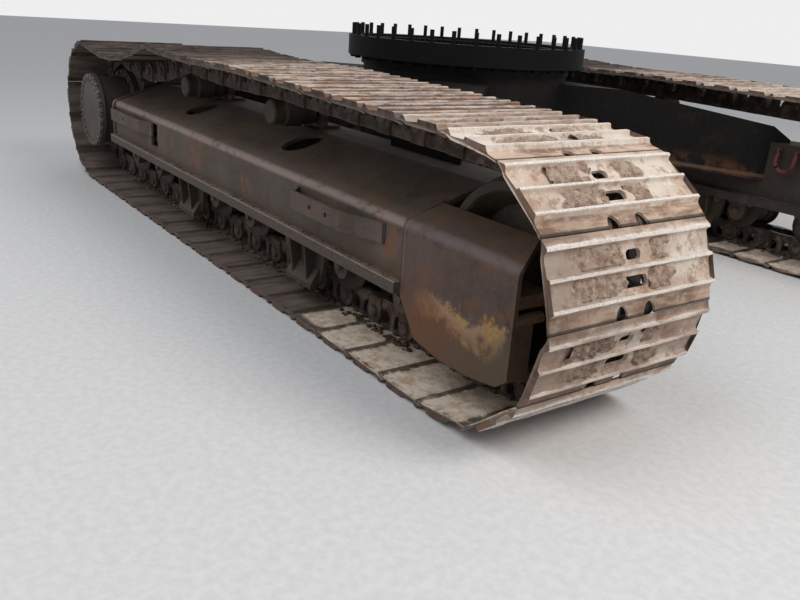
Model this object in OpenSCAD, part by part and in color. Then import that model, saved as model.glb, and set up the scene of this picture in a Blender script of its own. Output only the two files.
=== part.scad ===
// Crawler undercarriage of an excavator with its slew ring, in millimetres.
// X points forward to the idlers, Y to the left-hand crawler and Z up.
// The ground is at z = 0 and the origin is under the middle of the outer box.

/* [Crawlers] */
// Distance between the centre lines of the two crawlers
gauge = 2380; // [2300:10:2600]
// Distance from the idler's axle to the sprocket's axle
wheelbase = 3460; // [3340:1:3640]
// Clearance between curved faces that ride on each other
fit = 0.3; // [0.2:0.1:0.6]

/* [Track chain and shoes] */
// Distance between neighbouring track pins
link_pitch = 190; // [184:1:196]
// Width of a track shoe
shoe_w = 600; // [560:10:700]
// Height of the track pins above the running face of the rails
pin_to_rail = 55; // [50:1:60]
// Height of the shoe seats beyond the track pins
pin_to_shoe = 50; // [46:1:54]
// Thickness of a shoe plate
shoe_t = 11; // [9:1:13]
// Height of a grouser's crest above the shoe's seat
grouser_h = 26; // [23:1:32]
// Width of a grouser's worn crest
crest_w = 7; // [4:1:10]
// Distance between neighbouring grousers of one shoe
crest_pitch = 72.3; // [68:0.1:76]
// Width of one rail of the chain
rail_w = 40; // [34:1:44]
// Gap between the two rails of the chain
rail_gap = 100; // [94:1:110]
// Sag of the top run between the two carrier rollers
sag_middle = 14; // [6:1:20]
// Sag of the top run between the rear carrier roller and the sprocket
sag_rear = 70; // [40:1:80]
// Angle of the foremost pin above the idler's axle
pin_angle = 1; // [-15:1:15]

/* [Idlers and sprockets] */
// Radius of the idler's tread
idler_r = 255; // [245:1:265]
// Height of the idler's centre flange above its tread
idler_flange_h = 18; // [12:1:22]
// Width of the idler's centre flange
idler_flange_w = 86; // [70:1:90]
// Width of the idler's rim
idler_w = 188; // [176:2:196]
// Radius of the idler's shaft
idler_shaft_r = 36; // [30:1:42]
// Number of sprocket teeth, every second one meets a pin
sprocket_teeth = 21; // [21:2:21]
// Thickness of the sprocket
sprocket_w = 64; // [50:1:76]
// Height of a tooth's tip beyond the pitch circle
tooth_tip = 8; // [4:1:12]
// Depth of a tooth's root inside the pitch circle
tooth_root = 31; // [28:1:36]

/* [Final drives] */
// Radius of the final drive's cover disc
cover_r = 209; // [200:1:222]
// Distance of the cover's outer face from the crawler's centre line
cover_out = 266; // [256:1:278]
// Thickness of the cover disc
cover_t = 30; // [22:1:36]
// Width of the sloping rim around the cover's flat face
cover_rim = 30; // [20:1:40]
// Radius of the turning drum behind the cover
drum_r = 192; // [180:1:196]
// Radius of the fixed drive housing inside the sprocket
housing_r = 150; // [140:1:160]
// Radius of the travel motor
motor_r = 105; // [90:1:118]
// Length of the travel motor inside of the bracket plate
motor_l = 150; // [120:1:200]

/* [Rollers] */
// Number of bottom rollers of one crawler
roller_count = 8; // [7:1:8]
// Radius of a bottom roller's tread
roller_r = 75; // [70:1:78]
// Height of a bottom roller's flange above its tread
roller_flange_h = 17; // [12:1:18]
// Radius of the roller shafts
roller_shaft_r = 30; // [24:1:34]
// Radius of a carrier roller
carrier_r = 50; // [44:1:52]
// Height of the carrier rollers' axles above the ground
carrier_z = 650; // [648:1:665]
// Front carrier roller, forward of the middle of the wheelbase
carrier_front = 286; // [200:2:360]
// Rear carrier roller, forward of the middle of the wheelbase
carrier_rear = -644; // [-720:2:-560]

/* [Track frames] */
// Half of a track frame's width
frame_half_w = 235; // [228:1:245]
// Thickness of the frame's walls
wall = 14; // [10:1:18]
// Height of the frame's lower edge
frame_bottom = 275; // [268:1:282]
// Thickness of the flange along the lower edge
flange_t = 40; // [30:1:46]
// Width of that flange inside the wall
flange_in = 115; // [104:1:117]
// How far that flange stands out beyond the wall
flange_out = 26; // [16:1:32]
// Height where the roof's slope meets the outer wall
eaves_z = 492; // [476:1:500]
// Height of the roof's flat inner part
ridge_z = 588; // [570:1:589]
// Distance of the ridge inwards from the crawler's centre line
ridge_in = 63; // [50:1:90]
// Radius of the bend between wall and roof
bend_r = 34; // [20:1:44]
// Width of an oval roof opening
slot_w = 148; // [130:1:156]
// Length of a roof opening up the slope
slot_l = 168; // [160:1:190]
// Height of the upright slot's lower end in the outer wall
side_slot_z = 352; // [340:1:360]
// Thickness of the rim at the rear end
rim_t = 20; // [14:1:26]
// How far the rim stands out
rim_out = 9; // [5:1:14]

/* [Idler guards] */
// How far a guard reaches ahead of the idler's axle
guard_front = 205; // [190:1:220]
// How far a guard's front edge runs back from the outer wall to the roof opening
guard_rake = 76; // [50:1:90]
// Height of the guard's lower edge under the idler
guard_bottom = 143; // [135:1:160]
// Distance of the roof opening's edge from the centre line
guard_open = 102; // [100:1:112]
// How far the guard stands proud of the frame's wall
guard_proud = 4; // [2:1:8]
// Depth of the flange turned inwards along the lower part of the front edge
guard_return = 72; // [60:1:84]
// Height up to which that flange reaches
guard_return_z = 360; // [340:1:380]

/* [Steps] */
// Height of a step's lower edge
step_z = 402; // [392:1:410]
// Width of the bent strap
step_h = 62; // [50:1:70]
// Thickness of the bent strap
step_t = 10; // [8:1:12]
// How far the front step stands off the wall
step_off = 58; // [45:1:65]
// How far the rear step stands off the wall
step_off_rear = 36; // [30:1:50]

/* [Car body] */
// Height of the slew ring's seat
seat_z = 835; // [815:1:860]
// Position of the slew axis ahead of the middle of the wheelbase
slew_x = -80; // [-140:2:40]
// How far the tub's wall lies inside the ball circle
tub_in = 18; // [12:1:30]
// Thickness of the tub's wall
tub_wall = 22; // [16:1:30]
// Height of the car body's underside
belly_z = 425; // [400:1:450]
// Thickness of the belly plate
belly_t = 16; // [12:1:24]
// How far the belly plate reaches beyond the tub
belly_out = 30; // [20:1:40]
// Width of a leg at the tub
leg_w = 330; // [280:2:360]
// Width of a leg at the track frame
leg_foot_w = 420; // [360:2:460]
// Position of a leg's foot ahead of or behind the slew axis
leg_foot_x = 1050; // [960:5:1060]
// How far a leg's top lies below the slew ring's seat
leg_drop = 60; // [50:1:80]
// Height of the underside of a leg's foot
leg_foot_z = 400; // [380:1:420]
// Height of a leg's top above the frame's inner wall
leg_foot_top = 662; // [640:1:680]
// How far a leg's top laps over the frame's roof
leg_lap = 60; // [40:5:80]
// Radius of the centre swivel's housing
swivel_r = 100; // [80:1:110]
// Height of the centre swivel above the belly plate's underside
swivel_h = 420; // [380:2:440]

/* [Slew ring] */
// Radius of the ball circle
ball_circle_r = 538; // [480:1:600]
// Width of the turning race outside the ball circle
race_out = 62; // [56:1:72]
// Radius of the ball row's section
ball_r = 15; // [12:0.5:16]
// Running gap between the races
race_gap = 5; // [4:0.5:6]
// Height of one race
race_h = 92; // [84:1:100]
// How much higher the turning race sits
race_step = 14; // [10:1:18]
// How far the inner teeth reach inside the ball circle
gear_in = 90; // [84:1:98]
// Number of inner teeth
gear_teeth = 84; // [80:2:90]
// Height of an inner tooth
tooth_h = 22; // [18:1:24]
// Distance of the upper structure's bolt circle outside the ball circle
bolt_out = 38; // [36:0.5:40]
// Number of bolts in that circle
bolt_count = 36; // [24:2:36]
// Radius of those bolts
bolt_r = 10; // [8:0.5:11]
// Play of a bolt in its hole, all round
bolt_play = 1.5; // [1.2:0.1:2]
// Height that the bolts stand above the turning race
bolt_up = 55; // [40:1:70]

/* [Hidden] */
$fn = 64;

// Pins on a wheel lie on a circle, and the link between two of them is tangent to its tread
x_i = wheelbase / 2;
x_s = -wheelbase / 2;
h_i = idler_r + fit + pin_to_rail;
r_i = sqrt(h_i * h_i + link_pitch * link_pitch / 4);
half_i = asin(link_pitch / 2 / r_i);
half_s = 360 / sprocket_teeth;
r_s = link_pitch / 2 / sin(half_s);
z_pin = pin_to_shoe + grouser_h;
rail_z = z_pin + pin_to_rail;
// The idler's axle lies so high that every link that meets its tread stays outside it
z_i = z_pin + r_i;
z_s = z_pin + r_s;

// The pins' line over the carrier rollers, raised where a link bridges the bend
h_c = carrier_r + fit + pin_to_rail;
span_mid = carrier_front - carrier_rear;
span_rear = carrier_rear - x_s;
tilt_front = atan(4 * sag_middle / span_mid) + 2;
tilt_rear = atan(4 * (sag_middle / span_mid + sag_rear / span_rear)) + 4;
c_front = [carrier_front, carrier_z + h_c + link_pitch / 2 * tan(tilt_front / 2)];
c_rear = [carrier_rear, carrier_z + h_c + link_pitch / 2 * tan(tilt_rear / 2)];

function on_circle(c, r, a) = [c[0] + r * cos(a), c[1] + r * sin(a)];
function arc(c, r, a0, a1, n) = [for (i = [0:n]) on_circle(c, r, a0 + (a1 - a0) * i / n)];
function sagging(p, q, s, n) = [for (i = [1:n - 1]) let (t = i / n)
    p + (q - p) * t - [0, 4 * s * t * (1 - t)]];

// One turn of the pins' line, counter-clockwise from the lower end of the idler's arc
ic = [x_i, z_i];
sc = [x_s, z_s];
top_i = atan2(c_front[1] - z_i, c_front[0] - x_i) - acos(r_i / norm(c_front - ic));
top_s = 90 - atan((z_s + r_s - c_rear[1]) / span_rear + 4 * sag_rear / span_rear);
arc_i = arc(ic, r_i, -90, top_i, 48);
arc_s = arc(sc, r_s, top_s, 270, 48);
path = concat(
    arc_i, [c_front], sagging(c_front, c_rear, sag_middle, 8), [c_rear],
    sagging(c_rear, arc_s[0], sag_rear, 10), arc_s, [arc_i[0]]
);
// Links that each step of the line takes: an arc counts by its angle, a line by its length
function step_links(i) = i < 48 ? (top_i + 90) / 48 / (2 * half_i)
    : let (k = i - (len(path) - 50)) (k >= 0 && k < 48)
    ? (270 - top_s) / 48 / (2 * half_s) : norm(path[i + 1] - path[i]) / link_pitch;
link_steps = [for (i = [0:len(path) - 2]) step_links(i)];
sums = [for (i = 0, s = 0; i < len(path); s = s + (i < len(link_steps) ? link_steps[i] : 0), i = i + 1) s];
links_exact = sums[len(path) - 1];
link_count = round(links_exact);
table_x = [for (i = [0:len(path) - 1]) [sums[i], path[i][0]]];
table_z = [for (i = [0:len(path) - 1]) [sums[i], path[i][1]]];
// The first pin is the foremost one, on the idler's arc
start = (pin_angle + 90) / (2 * half_i);
function wrap(u) = u - links_exact * floor(u / links_exact);
function place(u) = let (w = wrap(u)) [lookup(w, table_x), lookup(w, table_z)];
// Steps from one pin to the next, so that the two lie one link apart in a straight line
function nudge(a, u, p) = u + (p - norm(place(u) - a)) / link_pitch;
function next(u, p) = let (a = place(u)) nudge(a, nudge(a, nudge(a, u + 1, p), p), p);
function last(u, k, p) = k == 0 ? u : last(next(u, p), k - 1, p);
// The adjuster takes up what one turn of whole links leaves over
link_l = link_pitch * links_exact / (last(start, link_count, link_pitch) - start);
pins = [for (k = 0, u = start; k < link_count; k = k + 1, u = next(u, link_l)) place(u)];
function at(k) = pins[(k + link_count) % link_count];
function unit(v) = v / norm(v);
function along(k) = unit(at(k + 1) - at(k));
function outward(k) = [along(k)[1], -along(k)[0]];
function local(k, s, h) = at(k) + along(k) * s + outward(k) * h;
function corner(k, h) = let (b = unit(outward(k) + outward(k - 1)))
    at(k) + b * h / (b * outward(k));

// Section of one shoe, measured back from its leading pin: the first grouser rises from a lip that
// lies over the plain tail of the shoe ahead, and the middle one stands over the middle of the link
lip_at = -1;
lip_h = shoe_t + 1;
tail_over = 9;
g_foot = 9;
function grouser_at(i) = link_l / 2 + (i - 1) * crest_pitch - crest_w / 2;
shoe_profile = concat(
    [[lip_at, lip_h]],
    [for (i = [0:2], q = [[-g_foot, shoe_t], [0, grouser_h], [crest_w, grouser_h], [crest_w + g_foot, shoe_t]])
        if (i > 0 || q[0] >= 0) [grouser_at(i) + q[0], q[1]]],
    [[link_l + tail_over, shoe_t / 2]]
);
last_q = len(shoe_profile) - 1;
shoe_line = [for (k = [0:link_count - 1], i = [last_q:-1:0])
    local(k, link_l - shoe_profile[i][0], pin_to_shoe + shoe_profile[i][1])];
// A corner is drawn only where the chain bends
function bends(k) = norm(outward(k) - outward(k - 1)) > 0.002;
seat_line = [for (k = [0:link_count - 1]) if (bends(k)) corner(k, pin_to_shoe)];
rail_line = [for (k = [0:link_count - 1]) if (bends(k)) corner(k, -pin_to_rail)];

// The origin lies under the middle of the two tracks
x_max = max([for (q = shoe_line) q[0]]);
x_min = min([for (q = shoe_line) q[0]]);
x_mid = (x_max + x_min) / 2;

module ring2d(outer, inner) {
    n = len(outer);
    m = len(inner);
    polygon(points = concat(outer, inner), paths = [[for (i = [0:n - 1]) i], [for (i = [0:m - 1]) n + i]]);
}
// Side view in X and Z, thickened from y = y0 to y = y1
module slab(y0, y1) {
    translate([0, y1, 0]) rotate([90, 0, 0]) linear_extrude(height = y1 - y0) children();
}
// A crawler's pieces are drawn about its centre line, with the machine's outside at negative y
module right_side() translate([-x_mid, -gauge / 2, 0]) children();
module left_side() translate([-x_mid, gauge / 2, 0]) mirror([0, 1, 0]) children();
// A cylinder along Y from y0 to y1
module axle(x, z, r, y0, y1) translate([x, y1, z]) rotate([90, 0, 0]) cylinder(r = r, h = y1 - y0);
// A body of revolution about an axle along Y, its profile drawn as radius and y
module turned(x, z) translate([x, 0, z]) rotate([-90, 0, 0]) rotate_extrude() children();

module track() {
    color([0.55, 0.47, 0.42]) slab(-shoe_w / 2, shoe_w / 2) ring2d(shoe_line, seat_line);
}
module chain() {
    color([0.30, 0.24, 0.21]) for (s = [-1, 1]) {
        y = s * (rail_gap + rail_w) / 2;
        slab(y - rail_w / 2, y + rail_w / 2) ring2d(seat_line, rail_line);
    }
}

// Frame: section across the crawler, o is the distance outwards from its centre line
frame_rear_x = x_s + r_s + tooth_tip + 37;
frame_front_x = x_i - idler_r - idler_flange_h - 11;
slope = (ridge_z - eaves_z) / (frame_half_w + ridge_in);
slope_a = atan(slope);
function roof_z(o) = min(ridge_z, eaves_z + slope * (frame_half_w - o));
// Tangent points of the bend, measured from the eaves' corner
bend_d = bend_r * tan((90 - slope_a) / 2);
module roof_section(grow) {
    w = frame_half_w + grow;
    e = [-w, eaves_z + grow * 0.6];
    difference() {
        polygon([e, [ridge_in, ridge_z + grow], [w, ridge_z + grow], [w, frame_bottom], [-w, frame_bottom]]);
        difference() {
            polygon([e + [-1, 30], e + [bend_d * cos(slope_a), bend_d * sin(slope_a) + 0.01],
                e + [bend_r, -bend_d], e + [-1, -bend_d]]);
            translate(e + [bend_r, -bend_d]) circle(r = bend_r);
        }
    }
}
module cavity_section() {
    w = frame_half_w - wall;
    polygon([[-w, eaves_z - wall], [ridge_in, ridge_z - wall * 1.04], [w, ridge_z - wall],
        [w, frame_bottom + flange_t], [flange_in, frame_bottom + flange_t], [flange_in, frame_bottom - 1],
        [-flange_in, frame_bottom - 1], [-flange_in, frame_bottom + flange_t],
        [-w, frame_bottom + flange_t]]);
}
// A section in Y and Z, stretched from x0 to x1
module girder(x0, x1) translate([x0, 0, 0]) rotate([90, 0, 90]) linear_extrude(height = x1 - x0) children();
slots_x = [carrier_front + 176, carrier_rear + 88];
slot_out = 42;
module roof_slot(x) {
    o = (slot_l - slot_w) / 2;
    translate([x, -slot_out, roof_z(slot_out)]) rotate([slope_a, 0, 0]) {
        for (s = [-1, 1]) translate([0, s * o, -50]) cylinder(r = slot_w / 2, h = 100);
        translate([-slot_w / 2, -o, -50]) cube([slot_w, 2 * o, 100]);
    }
}
side_slot_w = 92;
side_slot_h = 112;
side_slot_x = carrier_rear - 64;
module track_frame() {
    color([0.33, 0.28, 0.26]) difference() {
        union() {
            girder(frame_rear_x, frame_front_x) roof_section(0);
            girder(frame_rear_x, frame_rear_x + rim_t) roof_section(rim_out);
            for (s = [-1, 1]) translate([frame_rear_x, s > 0 ? frame_half_w - 1 : -frame_half_w - flange_out,
                frame_bottom]) cube([frame_front_x - frame_rear_x, flange_out + 1, flange_t]);
        }
        girder(frame_rear_x - 1, frame_front_x + 1) cavity_section();
        for (x = slots_x) roof_slot(x);
        translate([side_slot_x - side_slot_w / 2, -frame_half_w - 20, side_slot_z])
            cube([side_slot_w, 60, side_slot_h]);
    }
}

// Idler guard: an outer and an inner arm that continue the frame's walls past the idler
guard_front_x = x_i + guard_front;
// Both arms end below in a bow under the idler
module arm_side_view(top) polygon([[frame_front_x, top], [guard_front_x, top],
    [guard_front_x, guard_bottom + 50], [guard_front_x - 40, guard_bottom + 18], [x_i + 40, guard_bottom],
    [x_i - 80, guard_bottom], [x_i - 196, guard_bottom + 18], [frame_front_x, frame_bottom]]);
module guard_outer() {
    w = frame_half_w + guard_proud;
    difference() {
        intersection() {
            girder(frame_front_x, guard_front_x) guard_section(w);
            slab(-w - 5, 0) arm_side_view(ridge_z + 40);
        }
        // The hollow behind the wall, open to the idler
        intersection() {
            girder(frame_front_x - 1, guard_front_x - wall) guard_hollow(w);
            slab(-w - 5, 1) translate([0, wall]) arm_side_view(ridge_z + 60);
        }
        // Open front end: only the lower part of its edge is turned inwards
        girder(guard_front_x - wall - 1, guard_front_x + 1)
            polygon([[-w + guard_return, guard_bottom + 24], [1, guard_bottom + 24],
                [1, eaves_z - wall + slope * (w - wall)], [-w + wall, eaves_z - wall],
                [-w + wall, guard_return_z], [-w + guard_return, guard_return_z]]);
        translate([0, 0, guard_return_z]) linear_extrude(height = ridge_z)
            polygon([[guard_front_x, -w + wall], [guard_front_x - guard_rake, -guard_open],
                [guard_front_x - guard_rake, 1], [guard_front_x + 1, 1], [guard_front_x + 1, -w + wall]]);
    }
    guide_bars(-w + wall - 1, -150);
}
// Bars above and below the bearing block, from y0 to y1
module guide_bars(y0, y1) {
    for (z = [z_i + block_h / 2 + fit, z_i - block_h / 2 - fit - 16])
        translate([frame_front_x, y0, z]) cube([x_i + 90 - frame_front_x, y1 - y0, 16]);
}
module guard_section(w) {
    e = [-w, eaves_z + guard_proud];
    top = [-guard_open, eaves_z + guard_proud + slope * (w - guard_open)];
    difference() {
        polygon([e, top, [-guard_open, 0], [-w, 0]]);
        difference() {
            polygon([e + [-1, 30], e + [bend_d * cos(slope_a), bend_d * sin(slope_a) + 0.01],
                e + [bend_r, -bend_d], e + [-1, -bend_d]]);
            translate(e + [bend_r, -bend_d]) circle(r = bend_r);
        }
    }
}
module guard_hollow(w) {
    polygon([[-w + wall, eaves_z - wall], [-guard_open + 1, eaves_z - wall + slope * (w - wall - guard_open)],
        [-guard_open + 1, 0], [-w + wall, 0]]);
}
module guard_inner() {
    w = frame_half_w;
    difference() {
        slab(guard_open, w) arm_side_view(ridge_z);
        translate([frame_front_x - 1, guard_open - 1, 0])
            cube([guard_front_x - wall - frame_front_x + 1, w - wall - guard_open + 1, ridge_z - wall]);
        translate([guard_front_x - wall - 2, guard_open - 1, 0])
            cube([wall + 4, w - guard_return - guard_open + 1, ridge_z - wall]);
    }
    guide_bars(150, w - wall + 1);
}
module idler_guard() {
    color([0.27, 0.22, 0.23]) {
        guard_outer();
        guard_inner();
    }
}

module idler() {
    t = idler_w / 2;
    f = idler_flange_w / 2;
    color([0.25, 0.22, 0.20]) turned(x_i, z_i) polygon([
        [idler_shaft_r + fit, -t + 10], [idler_shaft_r + 34, -t + 10], [idler_shaft_r + 44, -38],
        [idler_r - 66, -26], [idler_r - 30, -t + 6], [idler_r - 24, -t], [idler_r, -t],
        [idler_r, -f - 6], [idler_r + idler_flange_h, -f + 4], [idler_r + idler_flange_h, f - 4],
        [idler_r, f + 6], [idler_r, t], [idler_r - 24, t], [idler_r - 30, t - 6],
        [idler_r - 66, 26], [idler_shaft_r + 44, 38], [idler_shaft_r + 34, t - 10],
        [idler_shaft_r + fit, t - 10]
    ]);
}
// Bearing blocks slide between guide bars on the arms, a fork joins them behind the idler
block_h = 124;
block_l = 140;
nose_l = 116;
block_in = idler_w / 2 + 4;
block_out = frame_half_w - wall - 8;
fork_x = x_i - idler_r - idler_flange_h - 20;
module idler_yoke() {
    color([0.36, 0.29, 0.24]) {
        axle(x_i, z_i, idler_shaft_r, -block_out + 10, block_out - 10);
        for (s = [-1, 1]) {
            y0 = s > 0 ? block_in : -block_out;
            a = s > 0 ? block_in : -block_in - 34;
            translate([x_i - block_l / 2, y0, z_i - block_h / 2]) cube([block_l, block_out - block_in, block_h]);
            translate([x_i + block_l / 2 - 2, y0, z_i - 24]) cube([nose_l + 2, block_out - block_in, 34]);
            translate([fork_x - 40, a, z_i - 38]) cube([x_i - fork_x, 34, 76]);
        }
        translate([fork_x - 40, -block_in - 34, z_i - 38]) cube([40, 2 * block_in + 68, 76]);
        translate([fork_x - 190, 0, z_i]) rotate([0, 90, 0]) cylinder(r = 36, h = 152);
    }
}

sprocket_r = r_s + tooth_tip;
module sprocket() {
    root = r_s - tooth_root;
    n = sprocket_teeth;
    // Seats for the pins lie on the pitch circle, one of them under the rearmost pin
    rear = [for (p = pins) if (p[0] == min([for (q = pins) q[0]])) p][0];
    a0 = atan2(rear[1] - z_s, rear[0] - x_s);
    color([0.28, 0.24, 0.22]) slab(-sprocket_w / 2, sprocket_w / 2) translate([x_s, z_s]) difference() {
        polygon([for (i = [0:n - 1], q = [[-0.5, root], [-0.26, root], [-0.1, 0], [0.1, 0], [0.26, root]])
            let (a = a0 + (i + 0.5 + q[0] * 0.98) * 360 / n, r = q[1] == 0 ? sprocket_r : q[1]) [r * cos(a), r * sin(a)]]);
        circle(r = housing_r + 2 * fit + 8);
    }
}

module final_drive() {
    face = sprocket_w / 2;
    color([0.36, 0.32, 0.31]) turned(x_s, z_s) polygon([
        [0, -cover_out], [cover_r - cover_rim, -cover_out],
        [cover_r, -cover_out + cover_rim / 2], [cover_r, -cover_out + cover_t], [drum_r, -cover_out + cover_t],
        [drum_r, -face - 34], [cover_r + 26, -face - 34], [cover_r + 26, -face], [0, -face]
    ]);
}

// Bracket plate that carries the drive behind the sprocket
plate_in = frame_half_w - 36;
module drive_bracket() {
    color([0.26, 0.23, 0.22]) difference() {
        slab(plate_in, frame_half_w) difference() {
            union() {
                translate([x_s, z_s]) circle(r = cover_r + 22);
                polygon([[x_s, z_s + cover_r + 22], [frame_rear_x, ridge_z - 10],
                    [frame_rear_x, frame_bottom + 5], [x_s, z_s - cover_r - 22]]);
            }
            translate([x_s, z_s]) circle(r = motor_r + 16);
        }
    }
}
module travel_motor() {
    seat = sprocket_w / 2;
    hub = frame_half_w - 36;
    color([0.22, 0.20, 0.20]) turned(x_s, z_s) polygon([
        [0, -seat], [housing_r, -seat], [housing_r, hub - 24], [housing_r + 40, hub - 24],
        [housing_r + 40, hub], [motor_r + 16 - 2 * fit, hub], [motor_r + 16 - 2 * fit, frame_half_w],
        [motor_r, frame_half_w], [motor_r, frame_half_w + motor_l - 16],
        [motor_r - 16, frame_half_w + motor_l], [0, frame_half_w + motor_l]
    ]);
}

roller_first = x_s + sprocket_r + roller_r + roller_flange_h + 28;
roller_last = x_i - idler_r - idler_flange_h - roller_r - roller_flange_h - 28;
roller_z = rail_z + fit + roller_r;
rail_edge = rail_gap / 2 + rail_w;
roller_end = rail_edge + 16;
function roller_x(i) = roller_first + (roller_last - roller_first) * i / (roller_count - 1);
module bottom_rollers() {
    e = rail_edge + 3;
    color([0.24, 0.20, 0.18]) for (i = [0:roller_count - 1]) turned(roller_x(i), roller_z) polygon([
        [0, -roller_end - 34], [roller_shaft_r, -roller_end - 34], [roller_shaft_r, -roller_end],
        [roller_r + roller_flange_h - 8, -roller_end], [roller_r + roller_flange_h, -roller_end + 5],
        [roller_r + roller_flange_h, -e - 4], [roller_r, -e], [roller_r, -rail_gap / 2 + 4],
        [roller_r - 8, -rail_gap / 2 + 14], [roller_r - 8, rail_gap / 2 - 14], [roller_r, rail_gap / 2 - 4],
        [roller_r, e], [roller_r + roller_flange_h, e + 4], [roller_r + roller_flange_h, roller_end - 5],
        [roller_r + roller_flange_h - 8, roller_end], [roller_shaft_r, roller_end],
        [roller_shaft_r, roller_end + 34], [0, roller_end + 34]
    ]);
}
// Collars hang under the flange and hold the roller shafts
module roller_collars() {
    y0 = flange_in + 1;
    w = roller_end + 44 - y0;
    color([0.27, 0.22, 0.20]) for (i = [0:roller_count - 1], s = [-1, 1]) {
        a = s > 0 ? y0 : -y0 - w;
        difference() {
            union() {
                slab(a, a + w) translate([roller_x(i), roller_z]) {
                    difference() {
                        circle(r = roller_shaft_r + 16);
                        translate([-roller_shaft_r - 17, 0]) square(2 * roller_shaft_r + 34);
                    }
                    translate([-roller_shaft_r - 16, 0]) square([2 * roller_shaft_r + 32, frame_bottom - roller_z]);
                }
                translate([roller_x(i) - 82, a, frame_bottom - 18]) cube([164, w, 18]);
            }
            axle(roller_x(i), roller_z, roller_shaft_r + fit, s > 0 ? a - 1 : a + 10, s > 0 ? a + w - 10 : a + w + 1);
        }
    }
}

carriers_x = [carrier_front, carrier_rear];
carrier_end = rail_edge + 8;
bracket_y = carrier_end + 14;
bracket_t = 34;
module carrier_rollers() {
    color([0.25, 0.21, 0.18]) for (x = carriers_x) turned(x, carrier_z) polygon([
        [0, -carrier_end], [carrier_r - 6, -carrier_end], [carrier_r, -carrier_end + 6],
        [carrier_r, -rail_gap / 2 + 4], [carrier_r + 8, -rail_gap / 2 + 12],
        [carrier_r + 8, rail_gap / 2 - 12], [carrier_r, rail_gap / 2 - 4], [carrier_r, carrier_end - 6],
        [carrier_r - 6, carrier_end], [roller_shaft_r, carrier_end],
        [roller_shaft_r, bracket_y + bracket_t + 12], [0, bracket_y + bracket_t + 12]
    ]);
}
module carrier_brackets() {
    w = roller_shaft_r + 20;
    color([0.27, 0.23, 0.21]) for (x = carriers_x) difference() {
        union() {
            slab(bracket_y, bracket_y + bracket_t) {
                translate([x, carrier_z]) circle(r = w);
                translate([x - w, ridge_z]) square([2 * w, carrier_z - ridge_z]);
            }
            translate([x - w - 34, bracket_y - 4, ridge_z]) cube([2 * w + 68, bracket_t + 44, 14]);
        }
        axle(x, carrier_z, roller_shaft_r + fit, bracket_y - 1, bracket_y + bracket_t + 1);
    }
}

// Track guides hang from the flange beside the chain, between two rollers
guide_l = 250;
module guide_view(x) {
    l = guide_l / 2;
    polygon([[x - l, frame_bottom], [x - l, frame_bottom - 60], [x - l + 24, 118], [x - l + 60, 96],
        [x + l - 60, 96], [x + l - 24, 118], [x + l, frame_bottom - 60], [x + l, frame_bottom]]);
}
module track_guides() {
    color([0.30, 0.24, 0.21]) for (k = [3, 6], s = [-1, 1]) {
        x = (roller_x(k) + roller_x(k - 1)) / 2;
        a = s > 0 ? rail_edge + 70 : -rail_edge - 90;
        slab(a, a + 20) guide_view(x);
    }
}

// Steps are bent straps that stand off the frame's outer wall.
// A strap leaves the wall at x[0], runs along it from x[1] to x[2] and is back on it at x[3]
module strap(x, off) {
    w = -frame_half_w;
    n = step_t;
    translate([0, 0, step_z]) linear_extrude(height = step_h) polygon([
        [x[0], w], [x[1], w - off], [x[2], w - off], [x[3], w - n], [x[3] + 34, w - n],
        [x[3] + 34, w], [x[3] - n * 0.4, w], [x[2] - n * 0.25, w - off + n], [x[1] + n, w - off + n], [x[0] + n, w]
    ]);
}
// One row for each step: the bends of its strap, its two bolt holes and its stand-off
function steps_table() = [
    [[for (d = [932, 877, 551, 416]) x_i - d], [x_i - 747, x_i - 643], step_off],
    [[for (d = [rim_t, 60, 530, 610]) frame_rear_x + d], [frame_rear_x + 150, frame_rear_x + 270], step_off_rear]
];
module steps_pair() {
    color([0.35, 0.29, 0.26]) for (t = steps_table()) difference() {
        strap(t[0], t[2]);
        for (x = t[1])
            axle(x, step_z + step_h / 2, 9, -frame_half_w - t[2] - 20, -frame_half_w - t[2] + step_t + 4);
    }
}

// Car body about the slew axis
tub_r = ball_circle_r - tub_in;
gear_tip_r = ball_circle_r - gear_in;
gear_root_r = gear_tip_r + tooth_h;
race_r = ball_circle_r + race_out;
bolt_circle_r = ball_circle_r + bolt_out;
seat_t = 26;
seat_out = 12;
module slewed() translate([slew_x - x_mid, 0, 0]) children();
module car_body_tub() {
    color([0.12, 0.11, 0.11]) slewed() rotate_extrude() polygon([
        [tub_r - tub_wall, belly_z + belly_t], [tub_r, belly_z + belly_t], [tub_r, seat_z - seat_t],
        [tub_r + seat_out, seat_z - seat_t], [tub_r + seat_out, seat_z], [gear_root_r - 2, seat_z],
        [gear_root_r - 2, seat_z - seat_t], [tub_r - tub_wall, seat_z - seat_t]
    ]);
}
module belly_plate() {
    color([0.13, 0.12, 0.12]) slewed() rotate_extrude() polygon([
        [swivel_r + 30, belly_z], [tub_r + belly_out, belly_z],
        [tub_r + belly_out, belly_z + belly_t], [swivel_r + 30, belly_z + belly_t]
    ]);
}
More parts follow.
